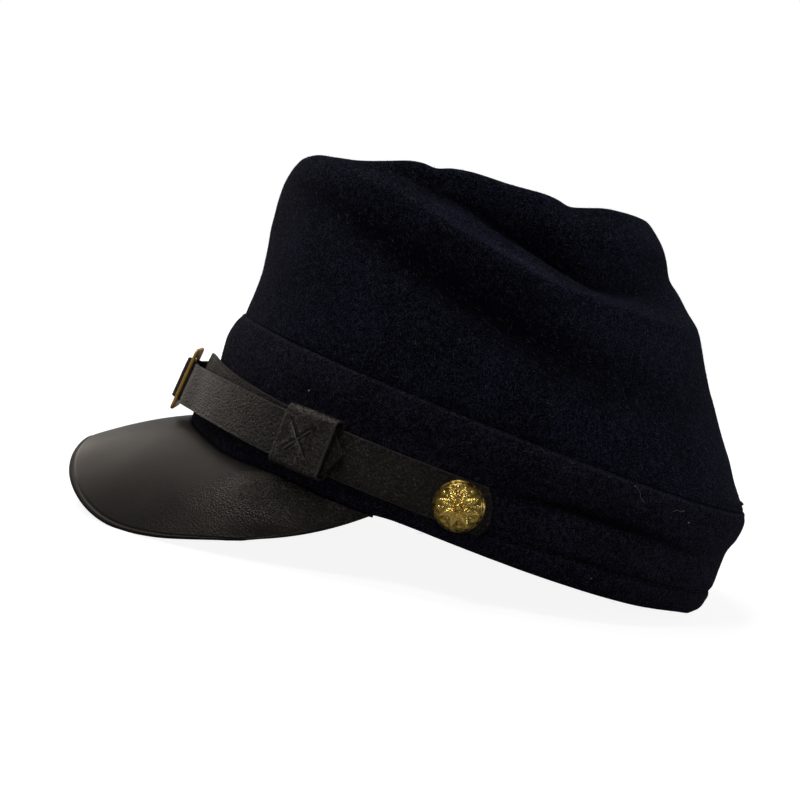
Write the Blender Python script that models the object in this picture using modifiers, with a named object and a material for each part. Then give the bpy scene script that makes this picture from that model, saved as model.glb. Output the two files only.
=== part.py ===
"""Kepi cap: wool band and crown, leather peak, two-part leather chin strap with a
brass slide buckle, a sewn leather keeper and a domed brass button at each side.

Every shape is worked out in the cap's own frame, in millimetres: the origin is the
middle of the band's bottom edge, -Y is the front, +X is the wearer's left and +Z is
up. The empty "rest_pose" then tips the cap back so that it lies on a table on the
rear of its band and the two low corners of its peak, and the little that would sink
into the table is cut flat.
"""
import math

import bmesh
import bpy
import numpy as np
from mathutils import Matrix, Vector

MM = 0.001
NUDGE = 0.03                   # small step, in radians or rows, for finding a surface's normal
GAP = 0.3                      # clear space between neighbouring pieces

# ---- Driving dimensions (mm) --------------------------------------------------
WOOL = 2.5                     # thickness of the doubled wool cloth
TIP_CLOTH = 2.0                # thickness of the round top piece
LEATHER = 1.3                  # thickness of the chin strap
PEAK_LEATHER = 2.2
PEAK_SKIVED = 1.0              # the peak's leather where it is sewn under the band

BAND_HALF_WIDTH = 88.5         # oval of the seam between band and crown
BAND_HALF_LENGTH = 107.0
BAND_CENTRE_Y = -0.8
HEAD_OVAL_POWER = 2.15         # 2 is an ellipse, more is squarer
SEAM_HEIGHT = 42.8
SEAM_RISE_AT_ENDS = 0.9

TIP_OVAL_POWER = 2.05
TIP_DISH = 2.2                 # how far the soft top sinks in its middle

PEAK_CORNER_ANGLE = 69.6       # where the peak leaves the band, from the front
PEAK_OUTLINE_HALF_WIDTH = 83.6
PEAK_OUTLINE_LENGTH = 122.8    # from the outline's centre to the front edge
PEAK_OUTLINE_CENTRE_Y = -28.0
PEAK_OUTLINE_POWER = 2.6
PEAK_SIDE_ANGLE = 62.0         # of the outline, where its straight side edge starts
PEAK_CAMBER = 1.6              # bulge of the leather between band and edge
PEAK_CORNER_HOLLOW = 1.6       # towards the corners the bulge turns into a slight hollow
PEAK_SIDE_BOW = (0.8, -1.4)    # y and z: how far its side edges bow out in their middle
PEAK_ROOT_HEIGHT = -0.3        # of its upper face, where it meets the band
PEAK_ROOT_OUTSIDE = 0.6        # where its slope starts, outside the band's cloth
PEAK_MARGIN = 2.0              # how far it is tucked under the band

STRAP_WIDTH = 16.6
STRAP_LIFT = 0.7               # from the band's cloth to the strap's inner face
BUTTON_DIAMETER = 17.4
BUTTON_RISE = 4.2
BUTTON_ANGLE = 86.5
BUTTON_HEIGHT = 14.6
BUTTON_EDGE = 1.0              # thickness of its rim
BUTTON_SEAT = 0.7              # clear of the strap, which curves away under it
ROSETTE_LEAVES = 8             # plain leaves stamped round the button's dome
ROSETTE_RISE = 0.35
ROSETTE_REACH = 0.85           # of its radius

BUCKLE_HEIGHT = 26.0
BUCKLE_WIDTH = 18.0
BUCKLE_BAR = 2.0
BUCKLE_CENTRE_HEIGHT = 10.2
BUCKLE_FRONT_Y = -121.0
BUCKLE_DEPTH = 1.0
CENTRE_BAR_WIDTH = 1.6
CENTRE_BAR_DEPTH = 0.6
BUCKLE_ROUNDING = 0.35
BAR_SHOULDER = 0.7             # the bar keeps the plate's thickness this near the frame
CUT_PAST = 2.0                 # how far a cutter reaches past what it cuts
BUCKLE_SHIFT = 3.0             # off the middle, towards the wearer's left
BUCKLE_TURN = 3.0              # degrees, following the band's curve there
BUCKLE_LEAN = 3.5              # degrees, its top towards the band
BUCKLE_HOLD = (12.0, 34.0)     # the straps turn fully inside the first distance

KEEPER_FROM_ANGLE = 47.6
KEEPER_TO_ANGLE = 58.2
KEEPER_BOTTOM = 3.4
KEEPER_TOP = 25.4
KEEPER_RISE = 1.0              # from its front end to its rear end
KEEPER_LIFTS = (0.7, 7.1)      # of its inner and outer face, off the band's cloth
KEEPER_CORNERS = (0.64, 1.6)   # radii of its inner and outer corners
KEEPER_LEATHER = 1.1

# ---- Resolution ---------------------------------------------------------------
ANGLE_STEPS = 68
PEAK_COLUMNS = 32
PEAK_SHARES = (0.0, 0.13, 0.3, 0.5, 0.7, 0.88, 1.0)     # rows, from the band to the edge
TIP_SHARES = (1.0, 0.72, 0.38)                          # rings of the round top
KEEPER_STATIONS = 5
BUTTON_SIDES = 24
BUTTON_SHARES = (0.92, 0.82, 0.68, 0.52, 0.36, 0.18)    # rings of its dome, from the rim

# ---- Rest on a table ------------------------------------------------------------
REST_PITCH = 11.1              # degrees tipped back, until the peak's corners touch too
FLATTENED = 0.8                # cloth and leather pressed flat where they rest
TABLE_SIZE = 500.0

# The band's section: height, and how far the cloth stands outside the seam's oval
# at the front, the side and the back.
BAND_ROWS = (
    # name            height  front  side   back
    ("seam edge",      42.5,  -0.4,   0.0,  -0.8),
    ("top roll",       39.0,   1.6,   1.5,   1.4),
    ("crest",          32.5,   3.1,   1.7,   1.3),
    ("crease",         27.0,   3.0,   0.2,  -0.4),
    ("below crease",   21.0,   2.2,   0.7,  -1.4),
    ("above hem",      12.8,   1.5,   0.6,  -1.9),
    ("hem stitching",  10.5,   1.2,   0.0,  -2.4),
    ("hem",             8.0,   1.1,   0.5,  -2.1),
    ("low hem",         3.2,   0.5,   0.2,  -3.0),
    ("bottom edge",     0.1,  -0.8,  -1.3,  -5.3),
)

# How far the band's bottom edge, and the peak sewn to it, rise (or dip) at each angle.
# The rise dies out at this height.
EDGE_RISE_ENDS = 20.0
EDGE_RISES = (
    # angle  rise
    (0, -4.0), (18, -4.1), (28, -4.4), (35, -3.8), (42, -2.3), (50, -1.3), (60, -1.1),
    (67, -0.6), (74, 0.9), (87, 1.2), (110, 1.3), (135, 1.6), (150, 2.0), (166, 0.3),
    (180, 0.0),
)

# The crown's sections, from the band's seam over the rolled rim to the top piece.
# Each is an oval, level at the seam and tilted with the top at the rim.
CROWN_ROWS = (
    # name             front_y front_z  back_y  back_z  half_width
    ("seam",            -107.4,  43.7,   105.4,  43.7,   88.4),
    ("above the seam",  -107.2,  45.4,   105.0,  45.3,   88.6),
    ("low wall",        -106.9,  52.0,    97.6,  52.0,   88.2),
    ("lower wall",      -107.0,  60.0,    90.8,  61.0,   87.2),
    ("middle wall",     -107.9,  67.5,    83.5,  70.0,   85.6),
    ("upper wall",      -109.3,  75.0,    76.2,  80.5,   83.0),
    ("high wall",       -110.4,  82.5,    70.2,  89.5,   80.0),
    ("shoulder",        -111.3,  89.5,    64.2,  98.0,   76.8),
    ("under the rim",   -111.8,  95.5,    56.4, 106.0,   73.4),
    ("rim's foot",      -111.5, 100.0,    46.8, 115.4,   70.4),
    ("rim side",        -110.6, 104.0,    40.8, 123.5,   68.2),
    ("rim shoulder",    -108.4, 107.6,    34.6, 129.2,   65.4),
    ("rim top",         -104.2, 109.6,    28.2, 133.6,   61.4),
    ("top seam",         -98.6, 109.5,    23.2, 132.4,   57.2),
)
# The slack cloth folds all the way round: a deep valley under the rim and a ridge
# below it. Angles run from the front round the wearer's left; heights count rows of
# the table above.
FOLD_ROWS = (
    # angle  ridge_height  ridge_rise  valley_height  valley_depth
    (0,            9.2,       0.0,        10.7,          0.0),
    (35,           9.9,       0.3,        11.2,          0.0),
    (60,           9.0,       1.5,        10.6,          2.8),
    (80,           7.8,       2.8,         9.7,          5.5),
    (100,          6.9,       3.2,         8.9,          7.6),
    (120,          6.7,       3.0,         8.2,          7.4),
    (145,          7.0,       2.0,         8.5,          4.5),
    (170,          7.5,       0.8,         9.3,          1.8),
    (195,          7.9,       0.0,         9.4,          0.9),
    (220,          7.2,       1.2,         8.8,          1.2),
    (245,          6.6,       2.0,         8.0,          3.6),
    (270,          6.9,       2.2,         8.3,          4.6),
    (300,          8.0,       1.2,         9.4,          2.6),
    (330,          9.0,       0.2,        10.4,          0.3),
)
VALLEY_WIDTH_ABOVE = 10.0
VALLEY_WIDTH_BELOW = 6.5
RIDGE_WIDTH = 7.0
FOLDS_FADE_AT_SEAM = 1.5       # rows of the table above
FOLDS_FADE_AT_TOP = 2.0

# Broad soft hollows below the ridge, on the left and the right of the crown.
HOLLOW_WIDTH = 12.0
HOLLOW_ROWS = (
    # angle  height  depth
    (0,        8.0,    0.0),
    (20,       8.4,    0.4),
    (45,       7.4,    2.6),
    (70,       6.0,    3.8),
    (95,       4.9,    3.2),
    (118,      4.4,    1.6),
    (140,      4.2,    0.2),
    (180,      4.2,    0.0),
    (222,      4.2,    0.2),
    (255,      4.4,    2.2),
    (295,      5.2,    2.6),
    (330,      6.8,    0.4),
)

# Rows of the crown's mesh: from the seam to the ridge, to the valley, to the top.
ROWS_TO_RIDGE = 7
ROWS_TO_VALLEY = 3
ROWS_TO_TOP = 7

# Waves of the rim: how far the rolled edge is lifted at each angle. They start at the
# first of these heights and reach their full size at the second.
WAVES_FROM, WAVES_FULL = 5.0, 11.0
RIM_WAVES = (
    # angle  lift
    (0, 0.0), (22, 0.2), (36, -0.6), (46, -0.5), (56, 0.9), (63, 2.0), (68, 1.9), (73, 0.8),
    (78, 1.6), (84, 1.6), (90, 0.9), (98, -0.2), (110, -1.2), (115, -2.1), (120, -3.5),
    (126, -2.6), (133, -1.1), (140, -0.4), (152, 0.2), (165, 0.5), (195, 0.0),
    (225, -1.2), (255, 1.6), (285, 1.2), (310, -1.0), (335, 0.6),
)

# Height of the peak's edge at each angle of its outline.
PEAK_EDGE_HEIGHTS = (
    # angle  height
    (-10, -31.0), (0, -27.8), (10, -31.0), (20, -36.4), (30, -40.8), (37, -41.2),
    (45, -38.1), (52, -33.5), (62, -26.0),
)

# The chin strap's left half, from its button to the buckle: angle round the band,
# height of its middle and lift off the band's cloth.
LEFT_STRAP_ON_BAND = (
    # angle  height  lift
    (92.1, 15.6, 0.0), (86.5, 15.4, 0.0), (80.0, 15.2, 0.0), (73.0, 15.0, 0.1),
    (67.0, 14.8, 0.6), (62.0, 14.7, 1.2), (57.5, 14.6, 1.4), (53.0, 14.5, 1.4),
    (48.0, 14.4, 1.4), (43.0, 14.4, 1.2), (38.0, 14.6, 0.9), (33.0, 14.9, 0.6),
    (28.0, 15.2, 0.5), (23.0, 15.5, 0.6), (18.0, 15.7, 0.9), (13.5, 15.8, 1.6),
    (10.0, 15.8, 2.3),
)
# Then it turns back round the buckle's centre bar, its top edge cut lower: x, y and
# height of its middle, if it were not cut.
LEFT_STRAP_FOLD = (
    # x      y       height
    (12.0, -114.1, 15.7), (11.2, -114.2, 15.7), (7.5, -114.6, 15.7), (5.3, -115.2, 15.7),
    (3.3, -116.4, 15.7), (1.2, -118.2, 15.7), (-0.4, -118.75, 15.7), (-1.6, -119.2, 15.7),
    (-2.2, -120.2, 15.7), (-1.8, -121.0, 15.7), (-0.4, -121.4, 15.7),
    (1.2, -121.35, 15.7), (2.5, -120.3, 15.7), (3.8, -118.5, 15.7), (5.4, -117.1, 15.7),
    (8.0, -116.6, 15.7), (12.0, -116.0, 15.7), (17.0, -115.3, 15.7),
)
LEFT_STRAP_CUT_FROM = 1        # station of the table above
LEFT_STRAP_CUT = 4.2           # how much lower its top edge is there

# The right half, from its button round the front to the keeper on the left.
RIGHT_STRAP_REAR = (
    # angle  height  lift
    (-92.1, 15.5, 0.0), (-86.5, 15.4, 0.0), (-78.0, 15.2, 0.0), (-70.0, 14.8, 0.0),
    (-62.0, 14.2, 0.2), (-54.0, 13.4, 0.2), (-46.0, 12.6, 0.3), (-38.0, 11.8, 0.4),
    (-31.0, 11.1, 0.8), (-24.0, 10.5, 1.8), (-18.0, 10.1, 3.1),
)
RIGHT_STRAP_FRONT = (
    # x      y       height
    (-20.0, -116.2, 9.8), (-14.5, -117.5, 9.8), (-9.2, -118.2, 9.8),
    (-6.6, -118.5, 9.8), (-4.9, -120.0, 9.8), (-3.5, -121.6, 9.8),
    (-1.8, -122.7, 9.8), (0.0, -122.95, 9.8), (1.8, -122.7, 9.8),
    (3.5, -121.7, 9.8), (4.9, -120.0, 9.8), (6.6, -118.5, 9.8),
    (9.2, -118.2, 9.9), (14.5, -117.6, 10.1), (20.0, -116.5, 10.5),
)
RIGHT_STRAP_LEFT_END = (
    # angle  height  lift
    (15.5, 10.9, 4.8), (21.0, 11.5, 3.8), (27.0, 12.2, 3.2), (33.0, 12.6, 2.9),
    (38.5, 12.8, 2.9), (43.5, 12.9, 2.9), (48.0, 13.1, 2.9), (53.0, 13.5, 2.9),
    (57.4, 14.0, 2.9), (61.3, 15.1, 2.8),
)
STRAP_POINT_WIDTH = 2.0        # at the very tip
INNER_STRAP_LEATHER = 1.0


# ---- Small helpers --------------------------------------------------------------
def smooth_table(rows, value, period=None):
    """Read a table of (place, number, ...) rows with a smooth curve through them."""
    rows = np.array(rows, float)
    places, numbers = rows[:, 0], rows[:, 1:]
    if period:
        places = np.concatenate([places[-2:] - period, places, places[:2] + period])
        numbers = np.concatenate([numbers[-2:], numbers, numbers[:2]])
        value = (value - places[2]) % period + places[2]
    value = min(max(value, places[0]), places[-1])
    i = min(max(int(np.searchsorted(places, value, side="right")) - 1, 0), len(places) - 2)
    step = places[i + 1] - places[i]
    u = (value - places[i]) / step
    before, after = max(i - 1, 0), min(i + 2, len(places) - 1)
    slope_in = (numbers[i + 1] - numbers[before]) / (places[i + 1] - places[before]) * step
    slope_out = (numbers[after] - numbers[i]) / (places[after] - places[i]) * step
    return ((2 * u**3 - 3 * u**2 + 1) * numbers[i] + (u**3 - 2 * u**2 + u) * slope_in
            + (3 * u**2 - 2 * u**3) * numbers[i + 1] + (u**3 - u**2) * slope_out)


def oval_radius(angle, half_width, half_length, power):
    """Distance from an oval's centre to its line; the angle runs from the front."""
    across = abs(math.sin(angle)) / half_width
    along = abs(math.cos(angle)) / half_length
    return (across**power + along**power) ** (-1 / power)


def dome(distance):
    """A smooth bump, 1 in its middle and near 0 past a distance of 1.5."""
    return math.exp(-1.4 * distance**2)


def material(name, colour, roughness, metallic=0.0):
    result = bpy.data.materials.new(name)
    result.use_nodes = True
    shader = result.node_tree.nodes["Principled BSDF"]
    shader.inputs["Base Color"].default_value = (*colour, 1.0)
    shader.inputs["Roughness"].default_value = roughness
    shader.inputs["Metallic"].default_value = metallic
    return result


def new_object(name, mesh, mat, collection, parent):
    mesh.materials.append(mat)
    mesh.shade_smooth()
    result = bpy.data.objects.new(name, mesh)
    collection.objects.link(result)
    result.parent = parent
    return result


def grid_mesh(name, rows, closed, pole=None, foot=False):
    """A mesh through rows of points; each row may close on itself, and the last one may
    end in a pole. A foot is one flat face across the first row."""
    bm = bmesh.new()
    grid = [[bm.verts.new(Vector(point) * MM) for point in row] for row in rows]
    columns = len(rows[0])
    for lower, upper in zip(grid, grid[1:]):
        for j in range(columns if closed else columns - 1):
            k = (j + 1) % columns
            bm.faces.new((lower[j], lower[k], upper[k], upper[j]))
    if pole is not None:
        top = bm.verts.new(Vector(pole) * MM)
        for j in range(columns):
            bm.faces.new((grid[-1][j], grid[-1][(j + 1) % columns], top))
    if foot:
        bm.faces.new(reversed(grid[0]))
    mesh = bpy.data.meshes.new(name)
    bm.to_mesh(mesh)
    bm.free()
    return mesh


def thicken(piece, thickness):
    """Give an open surface its thickness on the inner side."""
    shell = piece.modifiers.new("thickness", "SOLIDIFY")
    shell.thickness = thickness * MM
    shell.offset = -1.0
    shell.use_even_offset = True
    return shell


def angles():
    return [2 * math.pi * i / ANGLE_STEPS for i in range(ANGLE_STEPS)]


# ---- Band -----------------------------------------------------------------------
def seam_lift(angle):
    """The seam sits a little higher at the front and the back than at the sides."""
    return SEAM_RISE_AT_ENDS * math.cos(angle) ** 4


def edge_rise(angle, height=0.0):
    """The band's bottom edge isn't level: it dips at the peak and rises at the sides."""
    turn = math.degrees(math.acos(math.cos(angle)))
    fade = max(1 - height / EDGE_RISE_ENDS, 0)
    return fade * smooth_table(EDGE_RISES, turn)[0]


def band_bulge(angle, height):
    """How far the band's cloth stands outside the seam's oval."""
    table = [(row[1], row[2], row[3], row[4]) for row in reversed(BAND_ROWS)]
    front, side, back = smooth_table(table, height)
    end = front if math.cos(angle) > 0 else back
    return side + (end - side) * math.cos(angle) ** 2


def band_point(angle, height, lift=0.0):
    """A point on the band's outer face, or lifted off it."""
    radius = oval_radius(angle, BAND_HALF_WIDTH, BAND_HALF_LENGTH, HEAD_OVAL_POWER)
    radius += band_bulge(angle, height) + lift
    return (radius * math.sin(angle), BAND_CENTRE_Y - radius * math.cos(angle), height)


def build_band(mat, collection, parent):
    rows = []
    for _name, height, *_bulges in reversed(BAND_ROWS):
        share = height / SEAM_HEIGHT
        row = []
        for angle in angles():
            x, y, _ = band_point(angle, height)
            z = height + share * seam_lift(angle) + edge_rise(angle, height)
            row.append((x, y, z))
        rows.append(row)
    band = new_object("band", grid_mesh("band", rows, True), mat, collection, parent)
    thicken(band, WOOL)
    return band


# ---- Crown ----------------------------------------------------------------------
def crown_base(angle, height):
    """The crown's wall without its folds; height counts rows of CROWN_ROWS."""
    table = [(i, *row[1:]) for i, row in enumerate(CROWN_ROWS)]
    front_y, front_z, back_y, back_z, half_width = smooth_table(table, height)
    centre_y, half_length = (front_y + back_y) / 2, (back_y - front_y) / 2
    share = height / (len(CROWN_ROWS) - 1)
    power = HEAD_OVAL_POWER + (TIP_OVAL_POWER - HEAD_OVAL_POWER) * share
    radius = oval_radius(angle, half_width, half_length, power)
    x, y = radius * math.sin(angle), centre_y - radius * math.cos(angle)
    z = (front_z + back_z) / 2 + (y - centre_y) / half_length * (back_z - front_z) / 2
    z += (1 - share) ** 6 * (seam_lift(angle) - SEAM_RISE_AT_ENDS)
    rim_share = min(max((height - WAVES_FROM) / (WAVES_FULL - WAVES_FROM), 0), 1) ** 2
    z += rim_share * smooth_table(RIM_WAVES, math.degrees(angle), period=360)[0]
    return np.array((x, y, z))


def crown_point(angle, height):
    """A point on the folded wall: the base moved along its outward normal."""
    centre = crown_base(angle, height)
    around = crown_base(angle + NUDGE, height) - crown_base(angle - NUDGE, height)
    top = len(CROWN_ROWS) - 1
    above, below = min(height + NUDGE, top), max(height - NUDGE, 0)
    up = crown_base(angle, above) - crown_base(angle, below)
    normal = np.cross(around, up)
    normal /= np.linalg.norm(normal)
    row_height = np.linalg.norm(up) / (above - below)
    ridge, rise, valley, depth = smooth_table(FOLD_ROWS, math.degrees(angle), period=360)
    hollow, sag = smooth_table(HOLLOW_ROWS, math.degrees(angle), period=360)
    valley_width = VALLEY_WIDTH_ABOVE if height > valley else VALLEY_WIDTH_BELOW
    push = rise * dome((height - ridge) * row_height / RIDGE_WIDTH)
    push -= depth * dome((height - valley) * row_height / valley_width)
    push -= sag * dome((height - hollow) * row_height / HOLLOW_WIDTH)
    fade = min(height / FOLDS_FADE_AT_SEAM, 1) * min((top - height) / FOLDS_FADE_AT_TOP, 1)
    return centre + normal * push * fade


def crown_heights(angle):
    """Heights of the mesh rows at an angle; one follows the ridge, another the valley."""
    ridge, _, valley, _ = smooth_table(FOLD_ROWS, math.degrees(angle), period=360)
    heights = [ridge * i / ROWS_TO_RIDGE for i in range(ROWS_TO_RIDGE)]
    heights += [ridge + (valley - ridge) * i / ROWS_TO_VALLEY for i in range(ROWS_TO_VALLEY)]
    top = len(CROWN_ROWS) - 1
    heights += [valley + (top - valley) * i / ROWS_TO_TOP for i in range(ROWS_TO_TOP + 1)]
    return heights


def build_crown_side(mat, collection, parent):
    columns = []
    for angle in angles():
        columns.append([crown_point(angle, height) for height in crown_heights(angle)])
    mesh = grid_mesh("crown_side", list(zip(*columns)), True)
    crown = new_object("crown_side", mesh, mat, collection, parent)
    thicken(crown, WOOL)
    return crown


def build_crown_top(mat, collection, parent):
    """The round top piece, inside the rim's seam, sinking a little in its middle."""
    edge = [crown_base(angle, len(CROWN_ROWS) - 1) for angle in angles()]
    middle = np.mean(edge, axis=0)
    rows = []
    for share in TIP_SHARES:
        row = []
        for point in edge:
            inward = 1 - GAP / np.linalg.norm(point - middle)
            spot = middle + (point - middle) * share * inward
            row.append(spot - np.array((0, 0, TIP_DISH * (1 - share**2))))
        rows.append(row)
    pole = middle - np.array((0, 0, TIP_DISH))
    mesh = grid_mesh("crown_top", rows, True, pole)
    top = new_object("crown_top", mesh, mat, collection, parent)
    thicken(top, TIP_CLOTH)
    return top


# ---- Peak -----------------------------------------------------------------------
def peak_point(side, share):
    """A point on the peak's upper face; side is -1 to 1, share 0 at the band, 1 at the edge."""
    root_angle = math.radians(PEAK_CORNER_ANGLE) * side
    x, y, _ = band_point(root_angle, 0.0, PEAK_ROOT_OUTSIDE)
    root = np.array((x, y, PEAK_ROOT_HEIGHT + edge_rise(root_angle)))
    edge_angle = PEAK_SIDE_ANGLE * side
    turn = math.radians(edge_angle)
    radius = oval_radius(turn, PEAK_OUTLINE_HALF_WIDTH, PEAK_OUTLINE_LENGTH, PEAK_OUTLINE_POWER)
    height = smooth_table(PEAK_EDGE_HEIGHTS, abs(edge_angle))[0]
    y = PEAK_OUTLINE_CENTRE_Y - radius * math.cos(turn)
    edge = np.array((radius * math.sin(turn), y, height))
    spot = root + (edge - root) * share
    camber = PEAK_CAMBER * (1 - PEAK_CORNER_HOLLOW * abs(side) ** 8)
    arch = 4 * share * (1 - share)
    spot[2] += camber * arch
    spot[1:] += np.array(PEAK_SIDE_BOW) * arch * abs(side) ** 12
    return spot


def peak_sides():
    """Places across the peak, from -1 to 1, closer together towards its corners."""
    even = [2 * i / PEAK_COLUMNS - 1 for i in range(PEAK_COLUMNS + 1)]
    return [0.65 * side + 0.35 * math.sin(math.pi / 2 * side) for side in even]


def build_peak(mat, collection, parent):
    sides = peak_sides()
    rows = [[peak_point(side, share) for side in sides] for share in reversed(PEAK_SHARES)]
    margin = []
    for side in sides:
        root_angle = math.radians(PEAK_CORNER_ANGLE) * side
        x, y, _ = band_point(root_angle, 0.0, -PEAK_MARGIN)
        margin.append((x, y, PEAK_ROOT_HEIGHT + edge_rise(root_angle)))
    rows.append(margin)
    peak = new_object("peak", grid_mesh("peak", rows, False), mat, collection, parent)
    full = peak.vertex_groups.new(name="full thickness")
    full.add(list(range(len(sides) * (len(PEAK_SHARES) - 1))), 1.0, "REPLACE")
    shell = thicken(peak, PEAK_LEATHER)
    shell.vertex_group = full.name
    shell.thickness_vertex_group = PEAK_SKIVED / PEAK_LEATHER
    return peak


# ---- Chin strap -------------------------------------------------------------------
def front_turn(point):
    """Carry the buckle, and the straps near it, off the middle, turned and leaning."""
    pivot = Vector((0, BUCKLE_FRONT_Y, BUCKLE_CENTRE_HEIGHT))
    turn = Matrix.Rotation(math.radians(BUCKLE_TURN), 3, "Z")
    lean = Matrix.Rotation(math.radians(-BUCKLE_LEAN), 3, "X")
    held, free = BUCKLE_HOLD
    share = min(max((free - abs(point.x)) / (free - held), 0), 1)
    share = share * share * (3 - 2 * share)
    if point.y > 0:
        share = 0.0
    moved = turn @ lean @ (point - pivot) + pivot + Vector((BUCKLE_SHIFT, 0, 0))
    return point.lerp(moved, share)


def on_band(table):
    """Stations of a strap that lies on the band: middle of its inner face, and height."""
    return [band_point(math.radians(angle), height, STRAP_LIFT + lift + LEATHER / 2)
            for angle, height, lift in table]


def ribbon_mesh(name, stations, tops, bottoms, thickness):
    """A flat leather strap along its stations, with its edges this far above and below
    them; its faces follow the plan of the path."""
    plan = [Vector((x, y)) for x, y, _ in stations]
    bm = bmesh.new()
    rings = []
    for i, (x, y, height) in enumerate(stations):
        along = (plan[min(i + 1, len(plan) - 1)] - plan[max(i - 1, 0)]).normalized()
        side = Vector((-along.y, along.x, 0)) * thickness / 2
        low, high = Vector((x, y, height + bottoms[i])), Vector((x, y, height + tops[i]))
        corners = (low - side, low + side, high + side, high - side)
        rings.append([bm.verts.new(front_turn(corner) * MM) for corner in corners])
    for first, second in zip(rings, rings[1:]):
        for j in range(4):
            k = (j + 1) % 4
            bm.faces.new((first[j], first[k], second[k], second[j]))
    bm.faces.new(reversed(rings[0]))
    bm.faces.new(rings[-1])
    bmesh.ops.recalc_face_normals(bm, faces=bm.faces)
    mesh = bpy.data.meshes.new(name)
    bm.to_mesh(mesh)
    bm.free()
    mesh.set_sharp_from_angle(angle=math.radians(40))
    return mesh


def build_straps(mat, collection, parent):
    half = STRAP_WIDTH / 2
    left = on_band(LEFT_STRAP_ON_BAND) + list(LEFT_STRAP_FOLD)
    uncut = len(LEFT_STRAP_ON_BAND) + LEFT_STRAP_CUT_FROM
    tops = [half] * uncut + [half - LEFT_STRAP_CUT] * (len(left) - uncut)
    mesh = ribbon_mesh("strap_left", left, tops, [-half] * len(left), INNER_STRAP_LEATHER)
    new_object("strap_left", mesh, mat, collection, parent)

    right = on_band(RIGHT_STRAP_REAR) + list(RIGHT_STRAP_FRONT) + on_band(RIGHT_STRAP_LEFT_END)
    tops = [half] * (len(right) - 1) + [STRAP_POINT_WIDTH / 2]
    mesh = ribbon_mesh("strap_right", right, tops, [-top for top in tops], LEATHER)
    new_object("strap_right", mesh, mat, collection, parent)


def keeper_outline():
    """Lift off the cloth and height, going round the loop's rounded section."""
    (inner, outer), (inner_corner, outer_corner) = KEEPER_LIFTS, KEEPER_CORNERS
    corners = (
        # lift of its centre    height of its centre         radius        start
        (outer - outer_corner, KEEPER_TOP - outer_corner, outer_corner, 0),
        (inner + inner_corner, KEEPER_TOP - inner_corner, inner_corner, 90),
        (inner + inner_corner, KEEPER_BOTTOM + inner_corner, inner_corner, 180),
        (outer - outer_corner, KEEPER_BOTTOM + outer_corner, outer_corner, 270),
    )
    outline = []
    for lift, height, radius, start in corners:
        for turn in (0, 45, 90):
            a = math.radians(start + turn)
            outline.append((lift + radius * math.cos(a), height + radius * math.sin(a)))
    return outline


def build_keeper(mat, collection, parent):
    """A band of leather sewn round both halves of the strap."""
    rows = []
    for i in range(KEEPER_STATIONS):
        share = i / (KEEPER_STATIONS - 1)
        angle = math.radians(KEEPER_TO_ANGLE + (KEEPER_FROM_ANGLE - KEEPER_TO_ANGLE) * share)
        x, y, _ = band_point(angle, BUTTON_HEIGHT)
        row = []
        for lift, height in keeper_outline():
            z = height + KEEPER_RISE * (0.5 - share)
            row.append((x + lift * math.sin(angle), y - lift * math.cos(angle), z))
        rows.append(row)
    mesh = grid_mesh("keeper", rows, True)
    keeper = new_object("keeper", mesh, mat, collection, parent)
    thicken(keeper, KEEPER_LEATHER)
    return keeper


# ---- Brass ----------------------------------------------------------------------
def front_boxes(name, boxes):
    """A mesh of boxes, each from a low to a high corner, turned with the buckle."""
    bm = bmesh.new()
    for low, high in boxes:
        size, middle = Vector(high) - Vector(low), (Vector(high) + Vector(low)) / 2
        place = Matrix.Translation(middle) @ Matrix.Diagonal((*size, 1))
        bmesh.ops.create_cube(bm, size=1.0, matrix=place)
    for vert in bm.verts:
        vert.co = front_turn(vert.co) * MM
    mesh = bpy.data.meshes.new(name)
    bm.to_mesh(mesh)
    bm.free()
    return mesh


def cut_away(piece, mesh, cutters, parent):
    """Cut a mesh's shape out of a piece."""
    cutter = bpy.data.objects.new(mesh.name, mesh)
    cutters.objects.link(cutter)
    cutter.parent = parent
    cutter.hide_render = True
    cutter.display_type = "WIRE"
    cut = piece.modifiers.new(mesh.name, "BOOLEAN")
    cut.object = cutter
    cut.operation = "DIFFERENCE"


def build_buckle(mat, collection, parent, cutters):
    """A rectangular slide: a plate with a slot either side of its thinner centre bar."""
    half = BUCKLE_WIDTH / 2
    low, high = BUCKLE_CENTRE_HEIGHT - BUCKLE_HEIGHT / 2, BUCKLE_CENTRE_HEIGHT + BUCKLE_HEIGHT / 2
    front_y, back_y = BUCKLE_FRONT_Y, BUCKLE_FRONT_Y + BUCKLE_DEPTH
    plate = front_boxes("buckle", [((-half, front_y, low), (half, back_y, high))])
    buckle = new_object("buckle", plate, mat, collection, parent)

    bar, side_bar = CENTRE_BAR_WIDTH / 2, half - BUCKLE_BAR
    low, high = low + BUCKLE_BAR, high - BUCKLE_BAR
    slots = [((x, front_y - CUT_PAST, low), (x + side_bar - bar, back_y + CUT_PAST, high))
             for x in (-side_bar, bar)]
    cut_away(buckle, front_boxes("buckle_slots", slots), cutters, parent)
    low, high = low + BAR_SHOULDER, high - BAR_SHOULDER
    bar_front = back_y - CENTRE_BAR_DEPTH
    face = [((-bar - 1, front_y - CUT_PAST, low), (bar + 1, bar_front, high))]
    cut_away(buckle, front_boxes("centre_bar_face", face), cutters, parent)

    round_edges = buckle.modifiers.new("rounded edges", "BEVEL")
    round_edges.width = BUCKLE_ROUNDING * MM
    round_edges.segments = 1
    return buckle


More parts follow.
